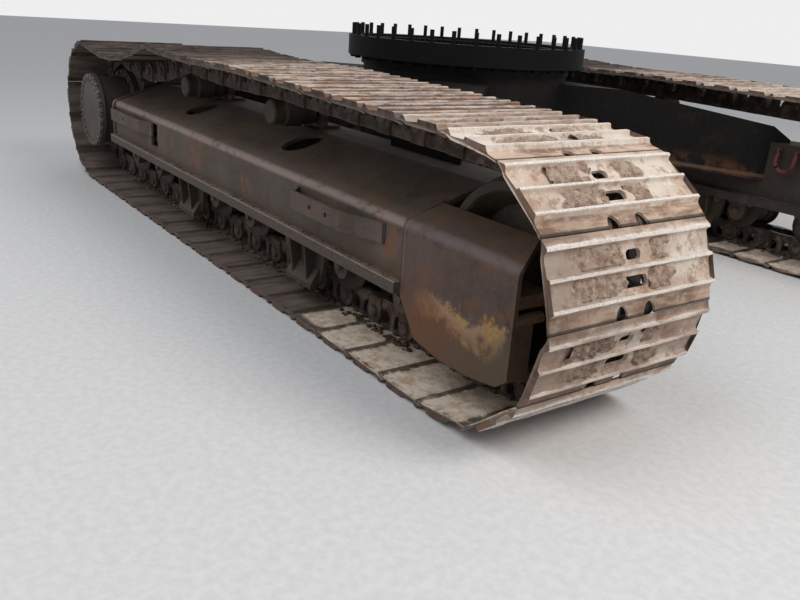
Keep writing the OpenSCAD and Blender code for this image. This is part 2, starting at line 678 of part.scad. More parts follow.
// A leg from the tub to the frame's inner wall and over its roof: sx along X, sy along Y
module leg(sx, sy) {
    y_wall = gauge / 2 - frame_half_w;
    y_far = y_wall + leg_lap;
    foot = [sx * leg_foot_x, sy * y_far];
    d = unit(foot);
    n = [-d[1], d[0]] * leg_w / 2;
    a = [sx * (leg_foot_x - leg_foot_w / 2), sy * y_far];
    b = [sx * (leg_foot_x + leg_foot_w / 2), sy * y_far];
    root = d * (tub_r - 60);
    p = sx * sy > 0 ? [root + n, root - n, b, a] : [root - n, root + n, b, a];
    color([0.11, 0.10, 0.10]) slewed() difference() {
        intersection() {
            linear_extrude(height = seat_z) polygon(p);
            girder(-wheelbase, wheelbase) polygon([
                [sy * tub_r / 3, belly_z + belly_t], [sy * (tub_r + belly_out + 2), belly_z + belly_t],
                [sy * y_wall, leg_foot_z], [sy * y_wall, ridge_z], [sy * y_far, ridge_z],
                [sy * y_far, ridge_z + 16], [sy * y_wall, leg_foot_top],
                [sy * (tub_r - 80), seat_z - leg_drop], [sy * tub_r / 3, seat_z - leg_drop]
            ]);
        }
        cylinder(r = tub_r + fit, h = 2 * seat_z);
    }
}
module swivel_joint() {
    neck_z = belly_z + swivel_h - 90;
    color([0.20, 0.19, 0.18]) slewed() rotate_extrude() polygon([
        [0, belly_z - 10], [swivel_r + 12, belly_z - 10], [swivel_r + 12, belly_z + belly_t],
        [swivel_r + 65, belly_z + belly_t], [swivel_r + 65, belly_z + belly_t + 18],
        [swivel_r, belly_z + belly_t + 18], [swivel_r, neck_z], [swivel_r - 16, neck_z],
        [swivel_r - 16, neck_z + 15], [swivel_r - 8, neck_z + 15], [swivel_r - 8, belly_z + swivel_h],
        [0, belly_z + swivel_h]
    ]);
}

race_z = seat_z + race_step;
in_r = ball_circle_r - race_gap / 2;
out_r = ball_circle_r + race_gap / 2;
ball_z = seat_z + race_step / 2 + race_h / 2;
module slew_inner_race() {
    n = gear_teeth;
    color([0.20, 0.19, 0.18]) slewed() difference() {
        translate([0, 0, seat_z]) linear_extrude(height = race_h) difference() {
            circle(r = in_r, $fn = 96);
            polygon([for (i = [0:n - 1], q = [[-0.30, gear_root_r], [-0.14, 0], [0.14, 0], [0.30, gear_root_r]])
                let (a = (i + q[0]) * 360 / n, r = q[1] == 0 ? gear_tip_r : q[1]) [r * cos(a), r * sin(a)]]);
        }
        translate([0, 0, ball_z]) rotate_extrude() translate([ball_circle_r, 0]) circle(r = ball_r + fit);
    }
}
module slew_ball_row() {
    color([0.5, 0.5, 0.5]) slewed() translate([0, 0, ball_z])
        rotate_extrude() translate([ball_circle_r, 0]) circle(r = ball_r);
}
module bolt_ring() for (i = [0:bolt_count - 1]) rotate([0, 0, (i + 0.5) * 360 / bolt_count])
    translate([bolt_circle_r, 0, 0]) children();
module slew_outer_race() {
    color([0.10, 0.10, 0.10]) slewed() difference() {
        translate([0, 0, race_z]) cylinder(r = race_r, h = race_h, $fn = 96);
        translate([0, 0, race_z - 1]) cylinder(r = out_r, h = race_h + 2, $fn = 96);
        translate([0, 0, ball_z]) rotate_extrude() translate([ball_circle_r, 0]) circle(r = ball_r + fit);
        bolt_ring() translate([0, 0, race_z - 1]) cylinder(r = bolt_r + bolt_play, h = race_h + 2, $fn = 24);
    }
}
module slew_bolts() {
    color([0.15, 0.14, 0.14]) slewed() bolt_ring() {
        translate([0, 0, race_z - 14]) cylinder(r = bolt_r * 1.6, h = 14, $fn = 6);
        translate([0, 0, race_z - 7]) cylinder(r = bolt_r, h = race_h + bolt_up + 7, $fn = 24);
    }
}

right_side() track();  // track_right
left_side() track();  // track_left
right_side() chain();  // chain_right
left_side() chain();  // chain_left
right_side() track_frame();  // frame_right
left_side() track_frame();  // frame_left
right_side() idler_guard();  // idler_guard_right
left_side() idler_guard();  // idler_guard_left
right_side() idler();  // idler_right
left_side() idler();  // idler_left
right_side() idler_yoke();  // idler_yoke_right
left_side() idler_yoke();  // idler_yoke_left
right_side() sprocket();  // sprocket_right
left_side() sprocket();  // sprocket_left
right_side() final_drive();  // final_drive_right
left_side() final_drive();  // final_drive_left
right_side() drive_bracket();  // drive_bracket_right
left_side() drive_bracket();  // drive_bracket_left
right_side() travel_motor();  // travel_motor_right
left_side() travel_motor();  // travel_motor_left
right_side() bottom_rollers();  // bottom_rollers_right
left_side() bottom_rollers();  // bottom_rollers_left
right_side() roller_collars();  // roller_collars_right
left_side() roller_collars();  // roller_collars_left
right_side() carrier_rollers();  // carrier_rollers_right
left_side() carrier_rollers();  // carrier_rollers_left
right_side() carrier_brackets();  // carrier_brackets_right
left_side() carrier_brackets();  // carrier_brackets_left
right_side() track_guides();  // track_guides_right
left_side() track_guides();  // track_guides_left
right_side() steps_pair();  // steps_right
left_side() steps_pair();  // steps_left
car_body_tub();
belly_plate();
leg(1, -1);  // leg_front_right
leg(1, 1);  // leg_front_left
leg(-1, -1);  // leg_rear_right
leg(-1, 1);  // leg_rear_left
swivel_joint();
slew_inner_race();
slew_ball_row();
slew_outer_race();
slew_bolts();
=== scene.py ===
"""Looks of a crawler undercarriage: worn shoes, links, bolts, welds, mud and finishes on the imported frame."""
import random
from math import acos, asin, atan, atan2, cos, dist, hypot, pi, radians, sin, sqrt, tan

import bmesh
import bpy
import numpy as np
from mathutils import Matrix, Vector, noise


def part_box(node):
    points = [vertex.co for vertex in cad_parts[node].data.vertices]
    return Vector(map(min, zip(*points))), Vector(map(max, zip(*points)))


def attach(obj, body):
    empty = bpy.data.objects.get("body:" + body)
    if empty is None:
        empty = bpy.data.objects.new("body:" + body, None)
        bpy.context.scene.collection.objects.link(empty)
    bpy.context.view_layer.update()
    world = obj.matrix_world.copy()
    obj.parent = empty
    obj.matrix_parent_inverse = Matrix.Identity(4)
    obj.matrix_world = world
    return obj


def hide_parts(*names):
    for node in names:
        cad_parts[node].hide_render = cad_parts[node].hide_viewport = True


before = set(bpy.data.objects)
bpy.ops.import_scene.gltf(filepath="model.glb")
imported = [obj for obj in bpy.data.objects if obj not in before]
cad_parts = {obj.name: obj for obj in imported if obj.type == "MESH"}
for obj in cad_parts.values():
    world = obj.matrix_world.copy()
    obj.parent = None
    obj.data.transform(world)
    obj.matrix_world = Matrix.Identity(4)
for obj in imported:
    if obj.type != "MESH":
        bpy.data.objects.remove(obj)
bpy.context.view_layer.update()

LOWER = "lower_structure"
SIDES = {"right": -1, "left": 1}

# Sizes of the track, in metres, as the part's source has them
PITCH = 0.19
PIN_TO_RAIL = 0.055
PIN_TO_SEAT = 0.05
GROUSER = 0.026
PLATE = 0.011
SHOE_HALF = 0.3
FIT = 0.0003
IDLER_FLANGE = 0.018
CARRIER_R = 0.05
CARRIER_FLANGE = 0.008
SAG_MIDDLE = 0.014
SAG_REAR = 0.07
TEETH = 21
PIN_ANGLE = radians(1)


def centre(node):
    """Middle of a node's box."""
    low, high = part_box(node)
    return (low + high) / 2


CRAWLER_Y = {side: centre("chain_" + side).y for side in SIDES}
HALF_GAUGE = CRAWLER_Y["left"]


# The pins' line, worked out as in the part's source: arcs round idler and sprocket, sagging runs between

def arc(c, r, a0, a1, n):
    turn = [a0 + (a1 - a0) * i / n for i in range(n + 1)]
    return [(c[0] + r * cos(a), c[1] + r * sin(a)) for a in turn]


def sagging(p, q, s, n):
    ts = [i / n for i in range(1, n)]
    return [(p[0] + (q[0] - p[0]) * t, p[1] + (q[1] - p[1]) * t - 4 * s * t * (1 - t)) for t in ts]


def track_pins():
    """The pins of one track as points in X and Z, one link apart."""
    idler_low, idler_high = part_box("idler_right")
    carrier_low, carrier_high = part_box("carrier_rollers_right")
    ic = (centre("idler_right").x, centre("idler_right").z)
    sc = (centre("final_drive_right").x, centre("final_drive_right").z)
    idler_r = (idler_high.z - idler_low.z) / 2 - IDLER_FLANGE
    r_i = hypot(idler_r + FIT + PIN_TO_RAIL, PITCH / 2)
    half_i = asin(PITCH / 2 / r_i)
    half_s = 2 * pi / TEETH
    r_s = PITCH / 2 / sin(half_s)
    x_front = carrier_high.x - CARRIER_R - CARRIER_FLANGE
    x_rear = carrier_low.x + CARRIER_R + CARRIER_FLANGE
    z_c = (carrier_low.z + carrier_high.z) / 2 + (CARRIER_R + FIT + PIN_TO_RAIL)
    span_mid = x_front - x_rear
    span_rear = x_rear - sc[0]
    tilt_front = atan(4 * SAG_MIDDLE / span_mid) + radians(2)
    tilt_rear = atan(4 * (SAG_MIDDLE / span_mid + SAG_REAR / span_rear)) + radians(4)
    c_front = (x_front, z_c + PITCH / 2 * tan(tilt_front / 2))
    c_rear = (x_rear, z_c + PITCH / 2 * tan(tilt_rear / 2))
    reach = dist(c_front, ic)
    top_i = atan2(c_front[1] - ic[1], c_front[0] - ic[0]) - acos(r_i / reach)
    top_s = pi / 2 - atan((sc[1] + r_s - c_rear[1]) / span_rear + 4 * SAG_REAR / span_rear)
    steps = 48
    arc_i = arc(ic, r_i, -pi / 2, top_i, steps)
    arc_s = arc(sc, r_s, top_s, 1.5 * pi, steps)
    path = arc_i + [c_front] + sagging(c_front, c_rear, SAG_MIDDLE, 8) + [c_rear]
    path += sagging(c_rear, arc_s[0], SAG_REAR, 10) + arc_s + [arc_i[0]]
    first_s = len(path) - 2 - steps
    links = [dist(p, q) / PITCH for p, q in zip(path, path[1:])]
    for i in range(steps):
        links[i] = (top_i + pi / 2) / steps / (2 * half_i)
        links[first_s + i] = (1.5 * pi - top_s) / steps / (2 * half_s)
    sums = np.concatenate([[0], np.cumsum(links)])
    xs, zs = np.array(path).T

    def place(u):
        u = u % sums[-1]
        return float(np.interp(u, sums, xs)), float(np.interp(u, sums, zs))

    def step(u, pitch):
        here = place(u)
        ahead = u + 1
        for _ in range(2):
            ahead += (pitch - dist(place(ahead), here)) / pitch
        return ahead

    count = round(sums[-1])
    start = (PIN_ANGLE + pi / 2) / (2 * half_i)
    end = start
    for _ in range(count):
        end = step(end, PITCH)
    pitch = PITCH * sums[-1] / (end - start)
    pins = []
    u = start
    for _ in range(count):
        pins.append(place(u))
        u = step(u, pitch)
    return pins


class Link:
    """Where one link lies: its leading pin, the way back along it and the way out of the loop."""

    def __init__(self, trailing, leading):
        self.lead = leading
        self.length = dist(trailing, leading)
        self.back = [(a - b) / self.length for a, b in zip(trailing, leading)]
        self.out = (-self.back[1], self.back[0])

    def place(self, co, side):
        """Points (u back, o outwards across, h out of the loop) to the row frame."""
        y = CRAWLER_Y[side] + SIDES[side] * co[:, 1]
        x = self.lead[0] + self.back[0] * co[:, 0] + self.out[0] * co[:, 2]
        z = self.lead[1] + self.back[1] * co[:, 0] + self.out[1] * co[:, 2]
        return np.stack([x, y, z], axis=1)


PINS = track_pins()
LINKS = [Link(p, q) for p, q in zip(PINS, PINS[1:] + PINS[:1])]


def in_scene(name, data):
    made = bpy.data.objects.new(name, data)
    bpy.context.scene.collection.objects.link(made)
    return made


def flipped(faces):
    return [f[::-1] for f in faces]


class Heap:
    """Gathers copies of small meshes into one object."""

    def __init__(self):
        self.co = []
        self.faces = []
        self.marks = []
        self.count = 0

    def add(self, co, faces, marks=(0, 0, 0, 0), flip=False):
        self.faces += [tuple(self.count + i for i in f) for f in (flipped(faces) if flip else faces)]
        self.co.append(co)
        self.marks.append(np.broadcast_to(np.asarray(marks, float), (len(co), 4)))
        self.count += len(co)

    def build(self, name, material, angle, body=LOWER, replaces=()):
        """Makes the object, shades it, sets what it rides on and hides the nodes that it replaces."""
        mesh = bpy.data.meshes.new(name)
        mesh.from_pydata(np.concatenate(self.co).tolist(), [], self.faces)
        attribute = mesh.attributes.new("marks", "FLOAT_COLOR", "POINT")
        attribute.data.foreach_set("color", np.concatenate(self.marks).astype(np.float32).ravel())
        mesh.validate()
        mesh.shade_smooth()
        mesh.set_sharp_from_angle(angle=radians(angle))
        mesh.materials.append(material)
        piece = in_scene(name, mesh)
        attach(piece, body)
        if replaces:
            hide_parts(*replaces)


def plate(outlines, depth, bevel, middle=0.0):
    """A flat plate with bevelled edges from outlines in u and h, the later ones being holes."""
    curve = bpy.data.curves.new("plate", "CURVE")
    curve.dimensions = "2D"
    curve.fill_mode = "BOTH"
    curve.extrude = depth / 2 - bevel
    curve.bevel_depth = bevel
    curve.bevel_resolution = 0
    curve.offset = -bevel
    for points in outlines:
        spline = curve.splines.new("POLY")
        spline.points.add(len(points) - 1)
        for point, (u, h) in zip(spline.points, points):
            point.co = (u, h, 0, 1)
        spline.use_cyclic_u = True
    holder = bpy.data.objects.new("plate", curve)
    mesh = holder.to_mesh()
    bm = bmesh.new()
    corners = [bm.verts.new((v.co.x, v.co.z + middle, v.co.y)) for v in mesh.vertices]
    for polygon in mesh.polygons:
        face = [corners[i] for i in polygon.vertices]
        if len(set(face)) == len(face) and not bm.faces.get(face):
            bm.faces.new(face)
    holder.to_mesh_clear()
    bpy.data.objects.remove(holder)
    bpy.data.curves.remove(curve)
    bmesh.ops.remove_doubles(bm, verts=bm.verts, dist=1e-5)
    bmesh.ops.recalc_face_normals(bm, faces=bm.faces)
    return from_bmesh(bm)


def skin(bm, rings, first_cap=True):
    """Joins rings of equal length with faces and closes the ends."""
    for a, b in zip(rings, rings[1:]):
        for i in range(len(a)):
            j = (i + 1) % len(a)
            bm.faces.new([a[i], a[j], b[j], b[i]])
    if first_cap:
        bm.faces.new(rings[0][::-1])
    bm.faces.new(rings[-1])


def from_bmesh(bm):
    """Corners and faces of a bmesh, which is freed."""
    bm.verts.index_update()
    co = np.array([v.co for v in bm.verts]).reshape(-1, 3)
    faces = [tuple(v.index for v in f.verts) for f in bm.faces]
    bm.free()
    return co, faces


def turned(profile, segments, axis="o"):
    """A body of revolution from (radius, height) points; it stands along o, or along h for a bolt."""
    bm = bmesh.new()
    rings = []
    for r, t in profile:
        turn = [2 * pi * i / segments for i in range(segments if r else 1)]
        rings.append([bm.verts.new((r * cos(a), r * sin(a), t)) for a in turn])
    for low, high in zip(rings, rings[1:]):
        for i in range(segments):
            j = (i + 1) % segments
            ring = [low[i % len(low)], low[j % len(low)], high[j % len(high)], high[i % len(high)]]
            bm.faces.new(list(dict.fromkeys(ring)))
    bmesh.ops.recalc_face_normals(bm, faces=bm.faces)
    co, faces = from_bmesh(bm)
    if axis == "o":
        co = co[:, [0, 2, 1]] * [1, 1, -1]
    return co, faces


def hexagon(across, height, chamfer=0.15, washer=0.0):
    """A bolt head or nut that stands along h, with a chamfered top and, if asked, a washer."""
    r = across / sqrt(3)
    corners = [Vector((r * cos(a), r * sin(a), 0)) for a in np.arange(6) * pi / 3]
    bm = bmesh.new()
    levels = [(1.0, 0.0), (1.0, height * (1 - chamfer)), (0.86, height)]
    skin(bm, [[bm.verts.new((p.x * k, p.y * k, z)) for p in corners] for k, z in levels], False)
    co, faces = from_bmesh(bm)
    if washer:
        ring, ring_faces = turned([(washer, 0.0), (washer, 0.003), (r * 0.8, 0.003)], 16, "h")
        faces = faces + [tuple(i + len(co) for i in f) for f in ring_faces]
        co = np.concatenate([co + [0, 0, 0.003], ring])
    return co, faces


# Shoes: a section in u, back from the leading pin, and h, up from the seat

CREST_PITCH = 0.0723
CREST_W = 0.007
CRESTS = [PITCH / 2 + k * CREST_PITCH for k in (-1, 0, 1)]
FLANK = 0.0108
LIP_AT = -0.002
LIP_H = 0.01
TAIL_END = PITCH + 0.029
SOLE = (0.038, 0.178)
HOLE_FRONT = dict(u=0.064, across=0.054, along=0.026)
HOLE_REAR = dict(u=0.131, across=0.088, along=0.03)
NOTCH_O = 0.051
NOTCH_W = 0.022
NOTCH_FROM = 0.185
GROUND_RUN = 0.2
SHOE_BOLTS = [(u, o) for u in (HOLE_FRONT["u"], HOLE_REAR["u"]) for o in (-0.078, 0.078)]


def smooth(t):
    t = np.clip(t, 0, 1)
    return t * t * (3 - 2 * t)


def shoe_top(u):
    """Top of the shoe: the lip rises to the first crest, and the tail passes under the next lip."""
    lip_end = CRESTS[0] - CREST_W / 2
    if u < lip_end:
        return LIP_H + (GROUSER - LIP_H) * ((u - LIP_AT) / (lip_end - LIP_AT)) ** 1.35
    flat = PLATE - 0.0052 * smooth((u - 0.172) / 0.018) - 0.0028 * max(0, u - PITCH) / (TAIL_END - PITCH)
    ridge = max(max(0, 1 - max(0, abs(u - c) - CREST_W / 2) / FLANK) ** 2.9 for c in CRESTS)
    return flat + (GROUSER - flat) * ridge


def shoe_under(u):
    """Underside of the shoe: hollow under the lip, flat on the links, bent down at the tail."""
    lip = 0.0073 * (1 - smooth((u - 0.024) / (SOLE[0] - 0.024)))
    return lip - 0.005 * max(0, u - SOLE[1]) / (TAIL_END - SOLE[1])


def slot_outline(u, across, along, corner=0.011):
    """Corners of a rounded hole in u and o."""
    points = []
    for su, so, a0 in ((1, 1, 0), (-1, 1, 90), (-1, -1, 180), (1, -1, 270)):
        for i in range(5):
            a = radians(a0 + 22.5 * i)
            points.append((u + su * (along / 2 - corner) + corner * cos(a),
                           so * (across / 2 - corner) + corner * sin(a)))
    return points


def notch_outline(o):
    """Corners of a rounded notch that is open at the shoe's tail."""
    edge = TAIL_END + 0.01
    deep = TAIL_END - NOTCH_FROM
    turn = [pi * i / 10 for i in range(11)]
    rounded = [(TAIL_END - deep * sin(a), o + NOTCH_W * cos(a)) for a in turn]
    return [(edge, o + NOTCH_W)] + rounded + [(edge, o - NOTCH_W)]


def prism(outline, low, high):
    """A closed bmesh prism over an outline in u and o."""
    bm = bmesh.new()
    skin(bm, [[bm.verts.new((u, o, h)) for u, o in outline] for h in (low, high)])
    bmesh.ops.recalc_face_normals(bm, faces=bm.faces)
    return bm


def object_from(bm, name):
    mesh = bpy.data.meshes.new(name)
    bm.to_mesh(mesh)
    bm.free()
    return in_scene(name, mesh)


def section_places():
    """Where the section has points in u, on top and underneath."""
    beside = [0.002, 0.0035, 0.0043, 0.0058, 0.008, 0.011, 0.0143]
    top = {LIP_AT, 0.002, 0.007, 0.012, 0.016, TAIL_END - 0.003, TAIL_END, 0.186, 0.19, 0.198, 0.207}
    for i, crest in enumerate(CRESTS):
        top |= {round(crest + d, 5) for d in [0] + beside}
        top |= {round(crest - d, 5) for d in (beside[:2] if i == 0 else beside)}
        if i < 2:
            top |= {round(crest + CREST_PITCH * t, 5) for t in (0.35, 0.5, 0.65)}
    under = [LIP_AT, 0.012, 0.026, 0.032, SOLE[0], 0.046, 0.168, SOLE[1], PITCH, 0.202, TAIL_END]
    return sorted(top), under


def master_shoe():
    """One shoe with its holes and notches, in u, o and h above the pins, as corners and faces."""
    top_us, under_us = section_places()
    ends = [SHOE_HALF, 0.2988, 0.295, 0.286]
    bm = bmesh.new()
    rings = []
    for o in [-e for e in ends] + [ends[-1] * i / 9 for i in range(-8, 9)] + ends[::-1]:
        end = smooth((SHOE_HALF - abs(o)) / 0.0025)
        ring = []
        for u in top_us:
            top = shoe_top(u)
            flat = min(top, PLATE)
            worn = flat * (0.94 + 0.06 * end) + (top - flat) * (0.93 + 0.07 * end)
            ring.append(bm.verts.new((u, o, PIN_TO_SEAT + max(worn, shoe_under(u) + 0.002))))
        ring += [bm.verts.new((u, o, PIN_TO_SEAT + shoe_under(u))) for u in reversed(under_us)]
        rings.append(ring)
    skin(bm, rings)
    bmesh.ops.triangulate(bm, faces=[f for f in bm.faces if len(f.verts) > 4])
    bmesh.ops.recalc_face_normals(bm, faces=bm.faces)
    shoe = object_from(bm, "master_shoe")
    holes = [slot_outline(**HOLE_FRONT), slot_outline(**HOLE_REAR)]
    for outline in holes + [notch_outline(s * NOTCH_O) for s in (-1, 1)]:
        cutter = object_from(prism(outline, PIN_TO_SEAT - 0.02, PIN_TO_SEAT + 0.05), "cutter")
        cut = shoe.modifiers.new("cut", "BOOLEAN")
        cut.operation = "DIFFERENCE"
        cut.solver = "EXACT"
        cut.object = cutter
        with bpy.context.temp_override(object=shoe, active_object=shoe):
            bpy.context.view_layer.objects.active = shoe
            bpy.ops.object.modifier_apply(modifier="cut")
        bpy.data.objects.remove(cutter)
    bm = bmesh.new()
    bm.from_mesh(shoe.data)
    bmesh.ops.triangulate(bm, faces=[f for f in bm.faces if len(f.verts) > 4])
    bmesh.ops.dissolve_degenerate(bm, dist=1e-5, edges=bm.edges)
    bpy.data.objects.remove(shoe)
    return from_bmesh(bm)


def noise_at(points, scale, seed):
    """Smooth noise of about -1 to 1 at each point."""
    shift = Vector((seed * 7.31, seed * 3.17, seed * 1.73))
    return np.array([noise.noise(Vector(p) * scale + shift) for p in points])


def dust_and_shade_of(link, side):
    """How pale a link is: dust, most over the idler's front and less towards the rear and the ground, with
    painted shade that darkens the links lower down.
    """
    x, z = (at + back * PITCH / 2 for at, back in zip(link.lead, link.back))
    if z < GROUND_RUN and link.back[0] < 0:
        return smooth((x - 0.72) / 0.5) * 0.9
    # Painted shade: the links lower down are made darker
    low = 0.08 + 0.44 * smooth((z - 0.06) / 0.2) + 0.48 * smooth((z - 0.3) / 0.4)
    more = 0.5 * smooth((x - 0.2) / 0.9) if side == "left" and z > 0.5 else 0.0
    front = 0.16 * smooth((x + 1.0) / 1.9) + 0.84 * smooth((x - 1.42) / 0.3)
    return min(1.0, front * low + more)


def make_shoes(side, shoe, material):
    """The shoes, each worn in its own way; marks are crest or seam (the seam for painted shade in the joints),
    tail or lip, dust with painted shade lower down, and underside.
    """
    co, faces = shoe
    u, o = co[:, 0], abs(co[:, 1])
    h = co[:, 2] - PIN_TO_SEAT
    top = smooth((h - PLATE) / (GROUSER - PLATE))
    under = (h < np.array([shoe_under(at) for at in u]) + 0.0015).astype(float)
    # The tail's very end and the seam mark where painted shade darkens the joints between shoes and the outer
    # ends underneath
    tail = np.where(u > TAIL_END - 0.0035, 1.0, 0.8 * smooth((u - CRESTS[2] - 0.006) / 0.008))
    lip = 1 - smooth((u - 0.006) / 0.012)
    seam = 1 - smooth((u - 0.026) / 0.02) * (1 - smooth((u - 0.168) / 0.034))
    seam = np.maximum(seam, 0.8 * smooth((o - 0.262) / 0.03))
    heap = Heap()
    for k, link in enumerate(LINKS):
        seed = k + 1 + (100 if side == "left" else 0)
        shape = co.copy()
        shape[:, 0] *= link.length / PITCH
        rough = noise_at(co * [1, 0.35, 1], 60, seed)
        fine = noise_at(co, 170, seed + 50)
        chipped = smooth(abs(noise_at(co * [0.6, 1, 0.6], 24, seed + 70)) * 2 - 0.75)
        shape[:, 2] -= top * (0.001 + 0.0014 * rough + 0.0006 * fine + 0.002 * chipped)
        shape[:, 2] += (1 - top) * (1 - under) * (0.0005 * rough + 0.0003 * fine)
        shape[:, 0] += top * 0.0012 * noise_at(co * [0.3, 1, 1], 35, seed + 90)
        frayed = smooth((o - 0.285) / 0.013) * (1 - top)
        ends = noise_at(co * [1, 0, 0], 90, seed + 30)
        shape[:, 1] -= np.sign(co[:, 1]) * frayed * (0.001 + 0.0012 * ends)
        edge = smooth((o - 0.2992) / 0.0006) * (1 - under)
        crest = top * (1 - under) * (1 - edge) + seam * under
        dust = dust_and_shade_of(link, side) * (1 - 0.85 * edge)
        if link.lead[1] < GROUND_RUN:
            dust = dust * (0.12 + 0.88 * under)
        marks = np.stack([crest, np.maximum(tail, 0.5 * lip), dust, under], axis=1)
        heap.add(link.place(shape, side), faces, marks, flip=SIDES[side] < 0)
    heap.build("shoes_" + side, material, replaces=("track_" + side,), angle=50)


# Mud that dried between the grousers, beside the holes

VALLEYS = [(CRESTS[i] + 0.008, CRESTS[i + 1] - 0.008) for i in (0, 1)]
CRUSTS = [(0.029, 0.215), (-0.046, -0.15)]


def crust(u0, u1, o0, o1, thick, seed):
    """A crust over a patch of the shoe: lumpy, ragged at its edge, sunk where it ends."""
    nu, no = 9, max(8, round(abs(o1 - o0) / 0.0075))
    grid = np.meshgrid(np.linspace(u0, u1, nu + 1), np.linspace(o0, o1, no + 1), 0.0, indexing="ij")
    co = np.stack([g.ravel() for g in grid], axis=1)
    broad = noise_at(co, 26, seed)
    lump = abs(noise_at(co, 48, seed + 20))
    fine = noise_at(co, 190, seed + 40)
    along = np.minimum(co[:, 1] - min(o0, o1), max(o0, o1) - co[:, 1])
    side = np.minimum(co[:, 0] - u0, u1 - co[:, 0])
    edge = smooth((along + 0.045 * broad - 0.006) / 0.009) * (0.3 + 0.7 * smooth(side / 0.006))
    height = edge * thick * (0.3 + 0.4 * broad + 1.7 * lump + 0.3 * fine) - 0.0022
    co[:, 2] = PIN_TO_SEAT + PLATE + np.minimum(height, GROUSER - PLATE - 0.002)
    faces = []
    for i in range(nu):
        for j in range(no):
            a = i * (no + 1) + j
            corners = (a, a + no + 1, a + no + 2, a + 1)
            if max(height[c] for c in corners) > -0.0015:
                faces.append(corners)
    return co, faces


def make_mud(side, material):
    """One crust in each valley on either side of the holes, without unused corners."""
    heap = Heap()
    pick = random.Random(11 if side == "right" else 12)
    for k, link in enumerate(LINKS):
        dust = dust_and_shade_of(link, side)
        for u0, u1 in VALLEYS:
            for o0, o1 in CRUSTS:
                thick = pick.uniform(0.012, 0.019) * (0.5 + 0.5 * dust)
                far = o1 + pick.uniform(-0.04, 0.01) * (1 if o1 > 0 else -1)
                co, faces = crust(u0, u1, o0, far, thick, k * 9 + pick.randrange(400))
                used = sorted({c for f in faces for c in f})
                if used:
                    new = {c: n for n, c in enumerate(used)}
                    faces = [tuple(new[c] for c in f) for f in faces]
                    normal_up = (far > o0) == (SIDES[side] > 0)
                    heap.add(link.place(co[used], side), faces, (0, 0, dust, 0), flip=not normal_up)
    heap.build("mud_" + side, material, angle=60)


# Chain

BOSS_R = 0.044
PIN_R = 0.021
BUSHING_R = 0.031
BUSHING_HALF = 0.056


def boss(u, a0, a1, n):
    """Points round a pin in u and h, between two angles in degrees."""
    return [(u + BOSS_R * cos(radians(a)), BOSS_R * sin(radians(a))) for a in np.linspace(a0, a1, n)]


def link_outline():
    """Side view of one link in u and h: bosses round both pins, a flat rail and a flat seat."""
    seat = PIN_TO_SEAT - FIT
    rail = -PIN_TO_RAIL + FIT
    foot = [(-0.018, rail + 0.004), (-0.012, rail), (PITCH + 0.012, rail), (PITCH + 0.018, rail + 0.004)]
    return boss(0, 65, 235, 9) + foot + boss(PITCH, -55, 115, 9) + [(PITCH - 0.036, seat), (0.036, seat)]


def raised_boss(u):
    """Rounded boss with a foot on the rail, in u and h."""
    foot = -PIN_TO_RAIL + 0.001
    return boss(u, -40, 220, 14) + [(u - 0.034, foot), (u + 0.034, foot)]


def window(u):
    """Opening for the nuts, in u and h."""
    return [(u - 0.021, 0.034), (u - 0.019, -0.004), (u - 0.008, -0.016), (u + 0.008, -0.016),
            (u + 0.019, -0.004), (u + 0.021, 0.034)]


def link_parts():
    """Side plates with windows, bosses, pin, bushing and nuts of one link, each with its wear."""
    windows = [window(0.064), window(0.131)]
    parts = []
    for s in (-1, 1):
        parts.append((plate([link_outline()] + windows, 0.022, 0.0025, s * 0.066), 0.0))
        parts.append((plate([raised_boss(0.0)], 0.016, 0.003, s * 0.081), 0.0))
        parts.append((plate([raised_boss(PITCH)], 0.016, 0.003, s * 0.049), 0.0))
    half_pin = [(PIN_R, 0.094), (PIN_R - 0.003, 0.098), (0, 0.098)]
    pin = [(r, -t) for r, t in reversed(half_pin)] + half_pin
    parts.append((turned(pin, 20), 0.15))
    parts.append((turned([(BUSHING_R, -BUSHING_HALF), (BUSHING_R, BUSHING_HALF)], 24), 0.8))
    nut, nut_faces = hexagon(0.03, 0.016)
    for u, o in SHOE_BOLTS:
        parts.append(((nut + [u, o * 0.9, 0.034], nut_faces), 0.0))
    return parts


def make_chain(side, material):
    """The links, whose rails and bushings are marked as worn."""
    heap = Heap()
    parts = link_parts()
    for link in LINKS:
        dust = dust_and_shade_of(link, side) * 0.6
        for (co, faces), wear in parts:
            worn = np.clip((-co[:, 2] - PIN_TO_RAIL + 0.004) / 0.003, 0, 1)
            marks = [(max(w, wear), 0, dust, 0) for w in worn]
            heap.add(link.place(co, side), faces, marks, flip=SIDES[side] < 0)
    heap.build("links_" + side, material, replaces=("chain_" + side,), angle=40)


# Bolts, welds, ribs and earth on the frames, placed in x, o (outwards from the crawler's centre line) and z

HALF_W = 0.235
LEDGE_Z = 0.315
BOTTOM_Z = 0.275
EAVES_Z = 0.492
RIDGE_Z = 0.588
GUARD_PROUD = 0.004
COLLAR_OUT = 0.15
BACK_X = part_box("frame_right")[0].x
FRONT_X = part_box("frame_right")[1].x
GUARD_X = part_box("idler_guard_right")[1].x
DRIVE_AT = centre("final_drive_right")
DRIVE_FACE = abs(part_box("final_drive_right")[0].y - CRAWLER_Y["right"])
IDLER_AT = centre("idler_right")
LEG_EDGE_Z = 0.4
LEG_SLOPE = 0.088
ROLLERS = 8
GUIDE_OUT = 0.18
GUIDE_HALF = 0.125
STEP_LOW, STEP_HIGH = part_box("steps_right")
STEP_REAR = 0.624
STEP_FRONT = 0.55
RIM_BOLTS = 24
RIM_R = 0.194
RIB_ROWS = [(0.158, 0.004, 0.0), (0.166, 0.006, 0.0035), (0.203, 0.011, 0.003), (0.2085, 0.012, -0.006)]
CLODS_BELOW = 420
CLODS_ON_LEDGE = 120


